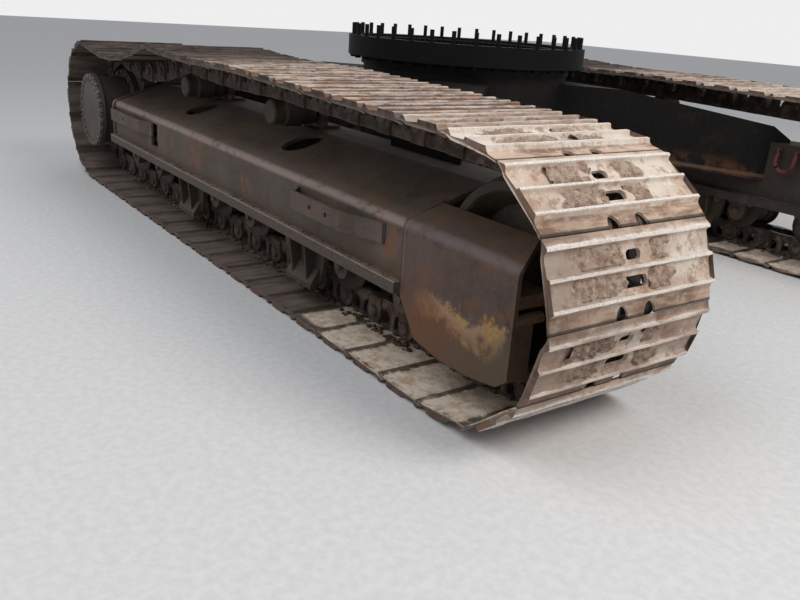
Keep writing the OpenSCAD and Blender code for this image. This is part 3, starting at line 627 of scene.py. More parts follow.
class SideHeap(Heap):
    """A heap whose pieces are given in x, o and z for one side of the machine."""

    def __init__(self, side):
        super().__init__()
        self.side = side

    def put(self, co, faces):
        x, o, z = np.asarray(co, float).T
        co = np.stack([x, CRAWLER_Y[self.side] + SIDES[self.side] * o, z], axis=1)
        self.add(co, faces, flip=SIDES[self.side] < 0)


def facing(co, way):
    """Turns a thing that stands along z: outwards, inwards, downwards or not at all."""
    if way == "out":
        return co[:, [0, 2, 1]] * [1, 1, -1]
    if way == "in":
        return co[:, [0, 2, 1]] * [1, -1, 1]
    if way == "down":
        return co * [1, -1, -1]
    return co


def spun(co, angle):
    """Turns a thing about z."""
    c, s = cos(angle), sin(angle)
    x, y, z = co.T
    return np.stack([x * c - y * s, x * s + y * c, z], axis=1)


def add_bolt(heap, pick, at, way, size, height, washer=0.017):
    co, faces = hexagon(size, height, 0.2, washer)
    heap.put(facing(spun(co, pick.uniform(0, pi)), way) + np.array(at), faces)


def ring_of(at, radius, count, start=0.0):
    """Points in x, o and z around an axle."""
    turn = [start + 2 * pi * i / count for i in range(count)]
    return [(at[0] + radius * cos(a), at[1], at[2] + radius * sin(a)) for a in turn]


def roller_places():
    low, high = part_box("bottom_rollers_right")
    r = (high.z - low.z) / 2
    return np.linspace(low.x + r, high.x - r, ROLLERS).tolist(), (low.z + high.z) / 2


def guide_places():
    """Middles of the two track guides along a frame, each between two rollers."""
    xs, _ = roller_places()
    return [(xs[2] + xs[3]) / 2, (xs[5] + xs[6]) / 2]


def slab_between(outline, x0, x1):
    """A bevelled plate between x0 and x1 from an outline in o and z."""
    co, faces = plate([outline], x1 - x0, 0.0015)
    return np.stack([co[:, 1] + (x0 + x1) / 2, co[:, 0], co[:, 2]], axis=1), faces


def guide_feet(heap):
    """The flared foot and the two ribs of each track guide."""
    inner = GUIDE_OUT - 0.002
    toe = GUIDE_OUT + 0.038
    foot = [(inner, 0.17), (GUIDE_OUT + 0.004, 0.168), (toe, 0.116), (toe, 0.098),
            (GUIDE_OUT + 0.02, 0.098), (inner, 0.128)]
    wide = GUIDE_OUT + 0.05
    rib = [(inner, BOTTOM_Z), (wide, BOTTOM_Z), (GUIDE_OUT + 0.032, 0.12), (inner, 0.15)]
    for x0 in guide_places():
        parts = [slab_between(rib, x0 + d - 0.006, x0 + d + 0.006) for d in (-0.055, 0.055)]
        parts.append(slab_between(foot, x0 - GUIDE_HALF + 0.03, x0 + GUIDE_HALF - 0.03))
        for co, faces in parts:
            heap.put(co, flipped(faces))
        for co, faces in parts:
            heap.put(co * [1, -1, 1], faces)


def bolts(heap):
    """Bolt heads on rollers, guides, sprocket, motor, idler shaft and carrier brackets."""
    pick = random.Random(5)
    ways = ((-1, "in"), (1, "out"))
    xs, z = roller_places()
    for x in xs:
        for s, way in ways:
            add_bolt(heap, pick, (x, s * COLLAR_OUT, z), way, 0.03, 0.012, 0.022)
            for d in (-0.06, 0.06):
                add_bolt(heap, pick, (x + d, s * 0.133, BOTTOM_Z - 0.018), "down", 0.024, 0.014)
    for x0 in guide_places():
        for d in (-0.085, 0.085):
            for s, way in ways:
                add_bolt(heap, pick, (x0 + d, s * GUIDE_OUT, 0.25), way, 0.024, 0.012)
    for at in ring_of((DRIVE_AT.x, 0.066, DRIVE_AT.z), 0.222, 20):
        add_bolt(heap, pick, at, "out", 0.022, 0.012)
    for at in ring_of((DRIVE_AT.x, -HALF_W, DRIVE_AT.z), 0.17, 14):
        add_bolt(heap, pick, at, "in", 0.024, 0.013)
    for at in ring_of((IDLER_AT.x, 0.213, IDLER_AT.z), 0.042, 4, pi / 4):
        add_bolt(heap, pick, at, "out", 0.02, 0.01)
    low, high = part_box("carrier_rollers_right")
    for x in (low.x + 0.058, high.x - 0.058):
        for d in (-0.066, 0.066):
            add_bolt(heap, pick, (x + d, -0.118, RIDGE_Z + 0.014), "up", 0.022, 0.012)


def drive_rim(heap):
    """Ribs and bolts round the conical rim of the drive's cover."""
    pick = random.Random(6)
    for i in range(RIM_BOLTS):
        a = 2 * pi * (i + 0.5) / RIM_BOLTS
        c, s = cos(a), sin(a)
        co = []
        for r, half, top in RIB_ROWS:
            for w, drop in ((-half - 0.003, -0.016), (-half, 0.0), (half, 0.0), (half + 0.003, -0.016)):
                co.append((DRIVE_AT.x + r * c - w * s, DRIVE_FACE + top + drop, DRIVE_AT.z + r * s + w * c))
        faces = [(k + 4, k + 5, k + 1, k) for k in (0, 1, 2, 4, 5, 6, 8, 9, 10)]
        heap.put(co, faces + [(15, 14, 13, 12), (0, 1, 2, 3)])
    for at in ring_of((DRIVE_AT.x, DRIVE_FACE - 0.012, DRIVE_AT.z), RIM_R, RIM_BOLTS):
        add_bolt(heap, pick, at, "out", 0.02, 0.014, 0.013)


def bead(points, radius, seed, step=0.007, sides=7):
    """A weld bead: a rippled tube along a line of points in x, o and z."""
    points = [Vector(p) for p in points]
    line = []
    for p, q in zip(points, points[1:]):
        n = max(1, round((q - p).length / step))
        line += [p.lerp(q, i / n) for i in range(n)]
    line.append(points[-1])
    co = []
    for i, p in enumerate(line):
        way = (line[min(i + 1, len(line) - 1)] - line[max(i - 1, 0)]).normalized()
        first = way.orthogonal().normalized()
        second = way.cross(first)
        fat = radius * (0.85 + 0.15 * (i % 2) + 0.35 * noise.noise(Vector((i * 0.37, seed, 0))))
        if i in (0, len(line) - 1):
            fat *= 0.3
        for k in range(sides):
            a = 2 * pi * k / sides
            co.append(p + fat * (cos(a) * first + sin(a) * second))
    faces = []
    for i in range(len(line) - 1):
        for k in range(sides):
            a, b = i * sides + k, i * sides + (k + 1) % sides
            faces.append((a, b, b + sides, a + sides))
    return np.array(co), faces


def welds(heap):
    """Beads down the guard's seam, along the ledges, up the rear rim and at the ends of the steps."""
    wall = HALF_W + 0.001
    guard = HALF_W + GUARD_PROUD
    seam = FRONT_X + 0.001
    ledge = LEDGE_Z + 0.001
    back = BACK_X + 0.03
    rim = BACK_X + 0.022
    lines = [
        ([(seam, guard - 0.004, BOTTOM_Z), (seam, guard - 0.003, EAVES_Z - 0.02),
          (seam, guard - 0.012, EAVES_Z + 0.004), (seam, 0.09, EAVES_Z + 0.053)], 0.0055),
        ([(back, wall, ledge), (FRONT_X, wall, ledge)], 0.0045),
        ([(rim, wall, BOTTOM_Z + 0.04), (rim, wall, EAVES_Z)], 0.005),
        ([(back, -wall, ledge), (FRONT_X, -wall, ledge)], 0.0045),
    ]
    for x in (STEP_LOW.x, STEP_LOW.x + STEP_REAR, STEP_HIGH.x - STEP_FRONT, STEP_HIGH.x):
        ends = [(x, HALF_W + 0.002, z) for z in (STEP_LOW.z - 0.002, STEP_HIGH.z + 0.002)]
        lines.append((ends, 0.0045))
    for n, (points, radius) in enumerate(lines):
        heap.put(*bead(points, radius, n + 1.5))


def clod(size, seed):
    """A lump of earth: a rough ball, flattened underneath."""
    bm = bmesh.new()
    bmesh.ops.create_icosphere(bm, subdivisions=2, radius=1.0)
    co, faces = from_bmesh(bm)
    bulge = 1 + 0.35 * noise_at(co, 1.3, seed) + 0.22 * noise_at(co, 3.1, seed + 5)
    co = co * bulge[:, None] * size
    co[:, 2] = np.maximum(co[:, 2], -0.35 * size[2])
    return co, faces


def clods(heap):
    """Earth that lies on the lower run beside the rollers and on the ledge."""
    pick = random.Random(21 if heap.side == "right" else 22)
    shapes = [clod((1.0, pick.uniform(0.6, 0.9), pick.uniform(0.4, 0.6)), n * 3.7) for n in range(12)]
    low = min(z for _, z in PINS) - PIN_TO_SEAT + 0.004

    def lay(x, o, z, size):
        co, faces = shapes[pick.randrange(len(shapes))]
        heap.put(spun(co * size, pick.uniform(0, 6.28)) + np.array((x, o, z)), faces)

    for _ in range(CLODS_BELOW):
        x = pick.uniform(-1.45, 1.35)
        near = abs(pick.gauss(0, 0.018))
        size = pick.uniform(0.006, 0.017) * max(0.35, 1 - 12 * near)
        s = 1 if pick.random() < 0.75 else -1
        lay(x, s * (0.098 + near), low, size)
    for _ in range(CLODS_ON_LEDGE):
        size = pick.uniform(0.003, 0.008)
        x = pick.uniform(BACK_X + 0.05, FRONT_X)
        lay(x, pick.uniform(HALF_W + 0.004, HALF_W + 0.018), LEDGE_Z + 0.001, size)


def lashing_bar(heap):
    """A bent bar welded to the inner wall of the crawler for lashing the machine down."""
    wall = -HALF_W
    hang = [pi * (1.06 + 0.88 * i / 12) for i in range(13)]
    loop = [(1.222 + 0.046 * cos(a), wall - 0.036, 0.515 + 0.052 * sin(a)) for a in hang]
    bend = [(loop[0][0], wall, 0.562), (loop[0][0], wall - 0.026, 0.558)] + loop
    bend += [(loop[-1][0], wall - 0.026, 0.558), (loop[-1][0], wall, 0.562)]
    heap.put(*bead(bend, 0.011, 3.0, 0.012, 10))


def guard_lugs(heap):
    """A rounded lug on the guard's inturned lower edge, and a thinner one below, on each arm."""
    x = GUARD_X - 0.014
    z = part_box("idler_guard_right")[0].z + 0.207
    inner, outer = 0.128, 0.226
    upper = [(0, inner - 0.004), (0.01, inner - 0.002), (0.015, inner + 0.004), (0.015, outer), (0, outer)]
    lower = [(0, inner + 0.02), (0.009, inner + 0.02), (0.009, outer - 0.02), (0, outer - 0.02)]
    lugs = [(upper, 16, 1.15, (x, 0, z)), (lower, 10, 1.0, (x - 0.012, 0, z - 0.016))]
    for way in (1, -1):
        for profile, sides, wide, at in lugs:
            co, faces = turned(profile, sides)
            heap.put(co * [wide, way, 1.0] + np.array(at), faces if way > 0 else flipped(faces))


# Finishes

def linear(code):
    """A colour given as #rrggbb, in Blender's linear values."""
    levels = bytes.fromhex(code[1:])
    return [((c / 255 + 0.055) / 1.055) ** 2.4 if c > 10 else c / 255 / 12.92 for c in levels] + [1]


class Finish:
    """Builds a material from nodes."""

    def __init__(self, name, **sockets):
        self.material = bpy.data.materials.new(name)
        self.material.use_nodes = True
        self.tree = self.material.node_tree
        self.surface = self.tree.nodes["Principled BSDF"]
        self.place = self.tree.nodes.new("ShaderNodeTexCoord").outputs["Object"]
        for socket, value in sockets.items():
            self.surface.inputs[socket.replace("_", " ")].default_value = value

    def link(self, value, socket):
        if isinstance(value, bpy.types.NodeSocket):
            self.tree.links.new(value, socket)
        else:
            socket.default_value = value

    def node(self, kind, output, inputs=(), **settings):
        made = self.tree.nodes.new("ShaderNode" + kind)
        for key, value in settings.items():
            setattr(made, key, value)
        for key, value in dict(inputs).items():
            self.link(value, made.inputs[key])
        return made.outputs[output]

    def stretched(self, x, y, z):
        return self.node("Mapping", 0, {"Vector": self.place, "Scale": (x, y, z)})

    def noise(self, scale, detail, rough, at=None):
        inputs = {"Vector": at or self.place, "Scale": scale, "Detail": detail, "Roughness": rough}
        return self.node("TexNoise", "Fac", inputs)

    def math(self, operation, a, b=0.0, c=0.0):
        return self.node("Math", 0, {0: a, 1: b, 2: c}, operation=operation)

    def plus(self, a, b):
        return self.math("ADD", a, b)

    def minus(self, a, b):
        return self.math("SUBTRACT", a, b)

    def scaled(self, value, factor, offset):
        return self.math("MULTIPLY_ADD", value, factor, offset)

    def times(self, *factors):
        product = factors[0]
        for factor in factors[1:]:
            product = self.math("MULTIPLY", product, factor)
        return product

    def swing(self, value, width):
        """Noise of 0 to 1 as a shift to both sides of 0."""
        return self.times(self.minus(value, 0.5), width)

    def apart(self, a, b):
        return self.math("ABSOLUTE", self.minus(a, b))

    def rise(self, value, low, high):
        """0 at low, 1 at high, smooth in between."""
        return self.node("MapRange", 0, {"Value": value, "From Min": low, "From Max": high},
                         interpolation_type="SMOOTHSTEP")

    def fall(self, value, low, high):
        """1 at low, 0 at high, smooth in between."""
        return self.minus(1, self.rise(value, low, high))

    def patches(self, scale, detail, rough, low, high):
        """Noise that is cut to patches: 0 where it is low, 1 where it is high."""
        return self.rise(self.noise(scale, detail, rough), low, high)

    def mix(self, factor, a, b, blend="MIX"):
        made = self.tree.nodes.new("ShaderNodeMix")
        made.data_type = "RGBA"
        made.blend_type = blend
        for value, socket in ((factor, 0), (a, 6), (b, 7)):
            self.link(linear(value) if isinstance(value, str) else value, made.inputs[socket])
        return made.outputs[2]

    def fade(self, value, low, high, a, b):
        return self.mix(self.rise(value, low, high), a, b)

    def over(self, below, above, *factors, blend="MIX"):
        """The colour above laid over the one below, by the product of the factors."""
        return self.mix(self.times(*factors), below, above, blend)

    def lay(self, above, *factors, blend="MIX"):
        """Lays a colour over the one that the finish has so far."""
        self.colour = self.over(self.colour, above, *factors, blend=blend)

    def split(self, vector):
        made = self.tree.nodes.new("ShaderNodeSeparateXYZ")
        self.link(vector, made.inputs[0])
        return made.outputs

    def axes(self):
        """X and Z, and between them how far out a point is from the nearer crawler's centre line."""
        x, y, z = self.split(self.place)
        return x, self.minus(self.math("ABSOLUTE", y), HALF_GAUGE), z

    def marks(self):
        """The four values that a heap keeps at each of its corners."""
        made = self.tree.nodes.new("ShaderNodeAttribute")
        made.attribute_name = "marks"
        split = self.tree.nodes.new("ShaderNodeSeparateColor")
        self.link(made.outputs["Color"], split.inputs[0])
        return split.outputs[0], split.outputs[1], split.outputs[2], made.outputs["Alpha"]

    def done(self, roughness, height=None, strength=0.5, distance=0.002, metallic=None):
        self.link(self.colour, self.surface.inputs["Base Color"])
        self.link(roughness, self.surface.inputs["Roughness"])
        if metallic is not None:
            self.link(metallic, self.surface.inputs["Metallic"])
        if height is not None:
            bump = self.node("Bump", 0, {"Height": height, "Strength": strength, "Distance": distance})
            self.link(bump, self.surface.inputs["Normal"])
        return self.material


def shoe_finish():
    """Brown steel under pale dust, with rusty tails, worn crests partly painted as highlight, dirty undersides
    and painted shade in the gaps and lower down.
    """
    f = Finish("worn_dusty_steel")
    crest, tail, dust, under = f.marks()
    grain = f.noise(150, 6, 0.7)
    smear = f.noise(26, 5, 0.65, f.stretched(1, 0.22, 1))
    soft = f.rise(smear, 0.35, 0.65)
    blotch = f.noise(21, 6, 0.72)
    broad = f.noise(6, 4, 0.6)
    brown = f.fade(smear, 0.38, 0.62, "#2a211c", "#504138")
    hue = f.mix(f.patches(9, 5, 0.65, 0.42, 0.58), "#865c42", "#6e5c5c")
    brown = f.over(brown, hue, f.rise(dust, 0.07, 0.15), 0.75)
    pale = f.fade(broad, 0.38, 0.62, "#cab29e", "#e0d4c6")
    pale = f.over(pale, "#a07e68", f.rise(blotch, 0.5, 0.62), 0.75)
    pale = f.mix(f.patches(33, 5, 0.7, 0.57, 0.66), pale, "#e6dcd0")
    amount = f.plus(dust, f.swing(smear, 0.6))
    f.colour = f.fade(amount, 0.02, 1.0, brown, pale)
    rusty = f.fade(smear, 0.4, 0.62, "#765846", "#ceb098")
    rusty = f.fade(dust, 0.4, 0.95, "#584236", rusty)
    f.lay(rusty, f.rise(tail, 0.1, 0.7), f.rise(blotch, 0.28, 0.5), 0.85)
    # Painted shade: the outer ends of the shoes below the top run are made browner and darker
    _, out, z = f.axes()
    f.lay("#705848", f.rise(out, 0.0, 0.24), f.fall(z, 0.6, 0.72), f.rise(broad, 0.3, 0.5), 0.5)
    f.lay(f.mix(dust, "#322721", "#8c6850"), f.patches(13, 7, 0.75, 0.56, 0.66), 0.6)
    # The worn crests' colour is real wear with a painted highlight in its near-white tones
    bright = f.fade(grain, 0.3, 0.7, "#cec2b6", "#f4efe8")
    dull = f.mix(soft, "#322823", "#5a4b42")
    middling = f.mix(soft, "#a08a7a", "#e2d2c4")
    shine = f.fade(dust, 0.05, 0.15, dull, middling)
    shine = f.fade(amount, 0.4, 0.85, shine, bright)
    ragged = f.swing(f.noise(44, 6, 0.75, f.stretched(1, 0.4, 1)), 1.5)
    worn = f.rise(f.plus(crest, ragged), 0.66, 0.95)
    f.lay(shine, worn, 0.9)
    dirty = f.mix(soft, "#50443d", "#6e6159")
    sandy = f.fade(blotch, 0.4, 0.62, "#e8d9c6", "#c4aa90")
    lying = f.plus(f.scaled(crest, -0.45, dust), f.swing(broad, 0.8))
    f.lay(f.fade(lying, 0.26, 0.5, dirty, sandy), under)
    # Painted shade in the joints: along the seams underneath and at the tail's end
    joint_shade = f.times(f.rise(f.plus(crest, f.swing(blotch, 1.2)), 0.72, 1.0), under)
    f.lay("#2c221c", f.math("MAXIMUM", f.rise(tail, 0.86, 0.97), joint_shade), 0.85)
    f.lay("#5c4638", f.patches(330, 3, 0.7, 0.62, 0.72), 0.45)
    height = f.plus(f.times(grain, 0.8), f.times(blotch, 0.8))
    return f.done(f.scaled(worn, -0.2, 0.88), height, f.scaled(worn, -0.35, 0.65), 0.0024)


def mud_finish():
    """Lumpy dried mud with small stones and dark cracks."""
    f = Finish("dried_mud")
    _, _, dust, _ = f.marks()
    lumps = f.noise(48, 6, 0.7)
    grain = f.noise(230, 5, 0.75)
    dark = f.fade(lumps, 0.35, 0.65, "#4c382e", "#7a6254")
    pale = f.fade(lumps, 0.36, 0.62, "#a48470", "#d8c0ac")
    f.colour = f.fade(dust, 0.2, 0.8, dark, pale)
    f.lay(f.mix(dust, "#968678", "#e2d8cc"), f.patches(95, 4, 0.7, 0.6, 0.66), 0.7)
    f.lay("#583c2c", f.patches(64, 4, 0.8, 0.44, 0.34), 0.75)
    height = f.plus(f.times(lumps, 0.5), f.times(grain, 0.6))
    return f.done(0.95, height, 1.0, 0.012)


def chain_finish():
    """Greasy dark steel that is bright where it rubs."""
    f = Finish("dark_oily_steel")
    wear, _, dust, _ = f.marks()
    grime = f.noise(22, 6, 0.65)
    grain = f.noise(160, 5, 0.7)
    f.colour = f.fade(grime, 0.35, 0.65, "#2c2420", "#54443a")
    f.lay("#9c8674", f.rise(grime, 0.5, 0.7), dust)
    f.lay("#786c62", wear, 0.8)
    return f.done(f.scaled(wear, -0.4, 0.85), grain, 0.6, 0.002, f.times(wear, 0.6))


# Patches of other hues in old paint: colour, then the noise's scale, detail and roughness, and its limits
HUES = [
    ("#4a3e28", (4.5, 6, 0.65, 0.5, 0.64)),
    ("#5c484c", (5.5, 6, 0.65, 0.42, 0.3)),
    ("#70482a", (6, 8, 0.8, 0.52, 0.62)),
    ("#2c241f", (5, 8, 0.8, 0.46, 0.36)),
]


def painted(name, dark, light, rust, dust, dust_amount, streaks, extra=None, shine=0.4, tint=0.0):
    """Old paint: blotches, vertical streaks, rust breaking through and dust on what faces up."""
    f = Finish(name, Specular_IOR_Level=shine)
    x, out, z = f.axes()
    blotch = f.noise(3.2, 6, 0.62)
    grain = f.noise(120, 6, 0.75)
    runs = f.noise(14, 6, 0.65, f.stretched(2.6, 2.6, 0.25))
    cloud = f.plus(f.times(blotch, 1 - streaks), f.times(runs, streaks))
    f.colour = f.fade(cloud, 0.36, 0.64, dark, light)
    for hue, patches in HUES:
        f.lay(hue, f.patches(*patches), tint)
    breaking = f.plus(f.times(f.noise(7, 7, 0.7), 0.65), f.times(grain, 0.35))
    f.lay(rust, f.rise(breaking, 0.53, 0.66), 0.6)
    f.lay(rust, f.patches(75, 5, 0.8, 0.52, 0.64), 0.5)
    f.lay(light, f.rise(grain, 0.42, 0.66), 0.35)
    f.lay(dark, f.rise(grain, 0.55, 0.34), 0.3)
    f.lay(dark, f.patches(48, 5, 0.8, 0.54, 0.66), 0.42, blend="MULTIPLY")
    facing_up = f.split(f.node("NewGeometry", "Normal"))[2]
    f.lay(dust, f.rise(facing_up, 0.15, 0.85), f.patches(11, 6, 0.7, 0.25, 0.7), dust_amount)
    height = f.plus(f.times(grain, 0.5), f.times(f.noise(34, 5, 0.7), 0.9))
    if extra:
        extra(f, x, out, z, grain)
    return f.done(f.scaled(grain, 0.3, 0.52), height, 0.55, 0.003)


def edge_line(f, colour, out, z, at, low, high, amount):
    """Colours a bend of the plate: near one height, on the outer side, broken up by noise."""
    near = f.fall(f.apart(z, at), low, high)
    f.lay(colour, near, f.rise(out, 0.205, 0.228), f.patches(16, 5, 0.7, 0.28, 0.5), amount)


def painted_shade_inside(f, out):
    """Painted shade: darkens the wall that looks at the other crawler."""
    f.lay("#1a1716", f.fall(out, -0.232, -0.222), f.patches(6, 5, 0.65, 0.2, 0.5), 0.75)


def frame_wear(f, x, out, z, grain):
    """Darker roof, lighter bend and ledge edge, dirt above the ledge and painted shade on the inner wall."""
    oily = f.mix(f.patches(8, 7, 0.75, 0.42, 0.58), "#221c15", "#463422")
    f.lay(oily, f.rise(z, EAVES_Z + 0.006, EAVES_Z + 0.03), f.patches(5, 5, 0.6, 0.3, 0.6), 0.7)
    edge_line(f, "#8e7c72", out, z, EAVES_Z - 0.002, 0.007, 0.022, 0.85)
    ledge = f.rise(out, HALF_W + 0.003, HALF_W + 0.006)
    face = f.fall(z, LEDGE_Z - 0.001, LEDGE_Z + 0.001)
    f.lay(f.fade(grain, 0.35, 0.65, "#362d27", "#584b42"), ledge, face)
    line = f.fall(f.apart(z, LEDGE_Z - 0.001), 0.002, 0.006)
    f.lay("#968476", ledge, line, f.patches(22, 5, 0.7, 0.3, 0.5), 0.85)
    dirt = f.fall(f.plus(z, f.swing(f.noise(12, 6, 0.7), 0.12)), 0.335, 0.375)
    f.lay("#46382c", f.rise(z, LEDGE_Z - 0.001, LEDGE_Z), dirt, 0.5)
    # Painted shade on the inner wall that faces the other crawler
    painted_shade_inside(f, out)


def drive_wear(f, x, out, z, grain):
    """Dark pockets round the cover's rim, between its ribs, and a darker drum behind."""
    dx = f.minus(x, DRIVE_AT.x)
    dz = f.minus(z, DRIVE_AT.z)
    radius = f.math("SQRT", f.plus(f.times(dx, dx), f.times(dz, dz)))
    f.lay("#161311", f.rise(radius, 0.163, 0.167), f.rise(out, DRIVE_FACE - 0.02, DRIVE_FACE - 0.016), 0.9)
    f.lay("#2c2622", f.fall(out, DRIVE_FACE - 0.034, DRIVE_FACE - 0.031), 0.7)


def leg_wear(f, x, out, z, grain):
    """A brown band above the sloping lower edge of a leg, and a lighter line along the edge."""
    height = f.scaled(out, LEG_SLOPE, f.minus(z, LEG_EDGE_Z))
    f.lay("#5c3c28", f.fall(height, 0.012, 0.085), f.patches(9, 6, 0.7, 0.42, 0.58), 0.6)
    f.lay("#624e40", f.fall(f.math("ABSOLUTE", height), 0.004, 0.012), 0.7)


def guard_wear(f, x, out, z, grain):
    """A ragged band of old yellow paint and rust low down, a lighter bend and a dark seam."""
    ragged = f.swing(f.noise(8, 7, 0.78), 0.3)
    low = f.plus(f.scaled(x, 0.05, z), ragged)
    span = f.plus(x, ragged)
    outer = f.rise(out, 0.225, 0.232)
    band = f.times(f.rise(low, 0.312, 0.34), f.fall(low, 0.385, 0.42),
                   f.rise(span, 1.5, 1.56), f.fall(span, 1.86, 1.9), outer)
    aged = f.fade(span, 1.54, 1.68, "#765238", "#a48664")
    yellow = f.over(aged, "#c49042", f.patches(24, 6, 0.75, 0.46, 0.62),
                    f.rise(low, 0.335, 0.365), f.rise(span, 1.62, 1.74))
    yellow = f.over(yellow, "#9e5e2e", f.fall(low, 0.325, 0.352), 0.8)
    f.lay(yellow, band, 0.85)
    rusty = f.fade(span, 1.6, 1.82, "#684226", "#50422e")
    f.lay(rusty, f.fall(f.plus(z, ragged), 0.2, 0.34), outer, 0.75)
    edge_line(f, "#706264", out, z, EAVES_Z + 0.002, 0.006, 0.026, 0.6)
    light = f.fall(x, FRONT_X + 0.01, FRONT_X + 0.016)
    f.lay("#70625c", light, f.patches(14, 6, 0.7, 0.35, 0.6), 0.5)
    f.lay("#1a1412", f.fall(x, FRONT_X + 0.003, FRONT_X + 0.007), 0.85)
    lip = f.rise(x, GUARD_X - 0.012, GUARD_X - 0.009)
    f.lay("#584634", lip, f.patches(16, 6, 0.7, 0.35, 0.6), 0.6)
    # Painted shade on the inner wall that faces the other crawler
    painted_shade_inside(f, out)


BROWN = "#605242"
GREY = "#3c352e"

# Arguments of painted(): name, dark, light, rust, dust and how much, streaks, extra wear, shine and tint
PAINTS = {
    "clods": ("clods_of_earth", "#42342a", "#7c6858", "#5c4432", BROWN, 0.6, 0.0, None, 0.1),
    "frame": ("old_frame_paint", "#3e3530", "#5a4f49", "#624632", BROWN, 0.35, 0.3, frame_wear, 0.4, 0.9),
    "guard": ("old_guard_paint", "#3c2f2a", "#584740", "#6a482e", BROWN, 0.35, 0.3, guard_wear, 0.4, 0.75),
    "wheel": ("dirty_casting", "#241e19", "#463c30", "#543c28", BROWN, 0.4, 0.2),
    "yoke": ("rusty_casting", "#4e3c2e", "#7c6650", "#865e3c", BROWN, 0.5, 0.2),
    "drive": ("dusty_drive", "#3c3632", "#5a524d", "#604a3a", BROWN, 0.35, 0.2, drive_wear),
    "ribs": ("drive_ribs", "#4a433e", "#706862", "#604a3a", BROWN, 0.35, 0.2),
    # The legs' colours are black paint, made darker still as painted shade
    "legs": ("black_leg_paint", "#0a0a0a", "#141312", "#2c221b", GREY, 0.1, 0.3, leg_wear, 0.12),
    "bolts": ("old_bolt_heads", "#3a322e", "#685c54", "#704c32", BROWN, 0.4, 0.1),
    "welds": ("weld_metal", "#28211d", "#4a3e37", "#62422c", BROWN, 0.3, 0.1),
    # The dark and ring colours are black paint and grease, made darker still as painted shade
    "dark": ("black_paint", "#0c0b0b", "#1a1817", "#30251e", GREY, 0.15, 0.3, None, 0.15),
    "ring": ("greased_ring", "#050505", "#0d0c0c", "#1a1511", GREY, 0.08, 0.2, None, 0.12),
    "bar": ("worn_red_bar", "#361614", "#622a26", "#3e2a22", BROWN, 0.2, 0.2),
}

# The first entry with a start of a node's name gives its finish
FINISH_OF = {
    "guard": "idler_guard",
    "yoke": "idler_yoke",
    "wheel": ("track_guides", "idler", "sprocket", "bottom_rollers", "carrier_rollers"),
    "frame": ("frame", "steps", "carrier_brackets", "roller_collars"),
    "drive": "final_drive",
    "dark": ("drive_bracket", "travel_motor", "car_body", "belly", "swivel"),
    "legs": "leg",
    "ring": "slew",
    "shoes": "track",
    "chain": "chain",
}


def finish_nodes(materials):
    for name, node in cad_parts.items():
        kind = next(kind for kind, starts in FINISH_OF.items() if name.startswith(starts))
        node.data.materials.clear()
        node.data.materials.append(materials[kind])


# Camera, floor and light

CAMERA_AT = Vector((3.2656, -2.757, 1.064))
CAMERA_YAW = radians(36.18)
CAMERA_PITCH = radians(19.76)
CAMERA_ROLL = radians(3.92)
FOCAL_PX = 802.6
PHOTO_W = 800
SENSOR_MM = 36
FLOOR_HALF = 30


def make_camera():
    data = bpy.data.cameras.new("camera")
    data.sensor_width = SENSOR_MM
    data.lens = FOCAL_PX / PHOTO_W * SENSOR_MM
    data.clip_end = 200
    camera = in_scene("camera", data)
    level_part = cos(CAMERA_PITCH)
    forward = Vector((-cos(CAMERA_YAW) * level_part, sin(CAMERA_YAW) * level_part, -sin(CAMERA_PITCH)))
    level = forward.cross(Vector((0, 0, 1))).normalized()
    upright = level.cross(forward)
    right = cos(CAMERA_ROLL) * level + sin(CAMERA_ROLL) * upright
    turn = Matrix((right, right.cross(forward), -forward)).transposed()
    camera.matrix_world = Matrix.Translation(CAMERA_AT) @ turn.to_4x4()
    bpy.context.scene.camera = camera


def make_floor():
    mesh = bpy.data.meshes.new("floor")
    corners = [(x * FLOOR_HALF, y * FLOOR_HALF, 0) for x, y in ((-1, -1), (1, -1), (1, 1), (-1, 1))]
    mesh.from_pydata(corners, [], [(0, 1, 2, 3)])
    f = Finish("floor")
    f.colour = f.mix(f.patches(40, 4, 0.6, 0.3, 0.7), "#d6d5d4", "#e0dfde")
    mesh.materials.append(f.done(0.9))
    floor = in_scene("floor", mesh)


def area_light(name, at, target, size, power, colour):
    data = bpy.data.lights.new(name, "AREA")
    data.shape = "DISK"
    data.size = size
    data.energy = power
    data.color = colour
    light = in_scene(name, data)
    light.location = at
    light.rotation_euler = (Vector(target) - Vector(at)).to_track_quat("-Z", "Y").to_euler()


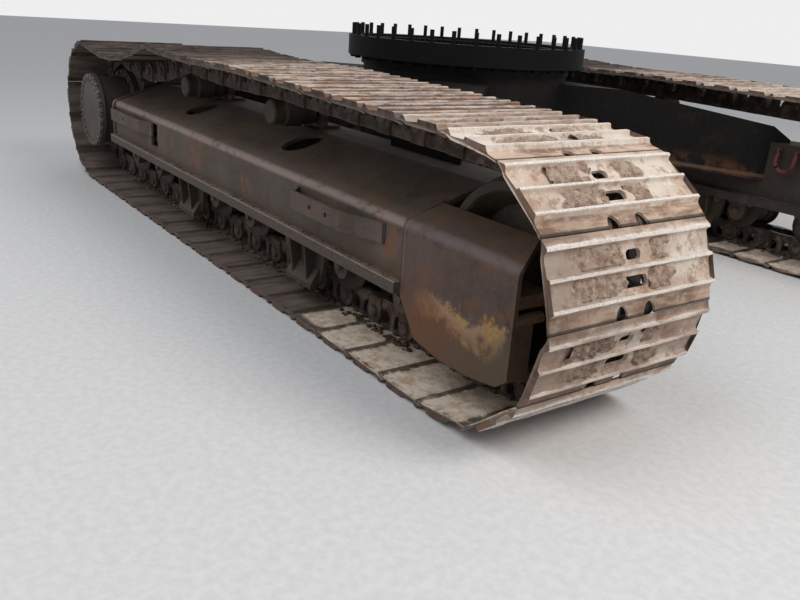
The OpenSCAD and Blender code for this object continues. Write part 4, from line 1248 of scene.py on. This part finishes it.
def make_light():
    """Two soft lamps and a dim world, which camera and gloss see as a plain pale backdrop."""
    world = bpy.data.worlds.new("studio")
    bpy.context.scene.world = world
    world.use_nodes = True
    tree = world.node_tree
    lighting = tree.nodes["Background"]
    seen = tree.nodes.new("ShaderNodeBackground")
    plain = ((lighting, (0.82, 0.86, 0.92, 1), 0.45), (seen, (0.86, 0.86, 0.86, 1), 1.0))
    for made, colour, strength in plain:
        made.inputs["Color"].default_value = colour
        made.inputs["Strength"].default_value = strength
    ray = tree.nodes.new("ShaderNodeLightPath")
    either = tree.nodes.new("ShaderNodeMath")
    either.operation = "MAXIMUM"
    mix = tree.nodes.new("ShaderNodeMixShader")
    wires = [
        (ray.outputs["Is Camera Ray"], either.inputs[0]), (ray.outputs["Is Glossy Ray"], either.inputs[1]),
        (either.outputs[0], mix.inputs[0]), (lighting.outputs[0], mix.inputs[1]),
        (seen.outputs[0], mix.inputs[2]), (mix.outputs[0], tree.nodes["World Output"].inputs["Surface"]),
    ]
    for output, socket in wires:
        tree.links.new(output, socket)
    area_light("key", (5.6, 0.6, 5.2), (1.4, -1.0, 0.4), 3.2, 235, (1.0, 0.97, 0.93))
    area_light("sky", (0.6, -4.4, 5.2), (0.2, -1.0, 0.4), 5.0, 118, (0.95, 0.97, 1.0))


make_camera()
make_floor()
make_light()
FINISHES = {"shoes": shoe_finish(), "chain": chain_finish(), "mud": mud_finish()}
FINISHES |= {key: painted(*values) for key, values in PAINTS.items()}
finish_nodes(FINISHES)
SHOE = master_shoe()
# What fills each small piece, its finish, and the angle above which its edges stay sharp
SMALL_PIECES = [
    ("bolts", bolts, "bolts", 25), ("drive_rim", drive_rim, "ribs", 30), ("welds", welds, "welds", 60),
    ("clods", clods, "clods", 80), ("guide_feet", guide_feet, "wheel", 30),
    ("lashing_bar", lashing_bar, "bar", 60), ("guard_lugs", guard_lugs, "yoke", 40),
]
for side_name in SIDES:
    make_shoes(side_name, SHOE, FINISHES["shoes"])
    make_mud(side_name, FINISHES["mud"])
    make_chain(side_name, FINISHES["chain"])
    for piece_name, fill, kind, sharp in SMALL_PIECES:
        small = SideHeap(side_name)
        fill(small)
        small.build(piece_name + "_" + side_name, FINISHES[kind], sharp)

bpy.context.scene.view_settings.view_transform = "Standard"
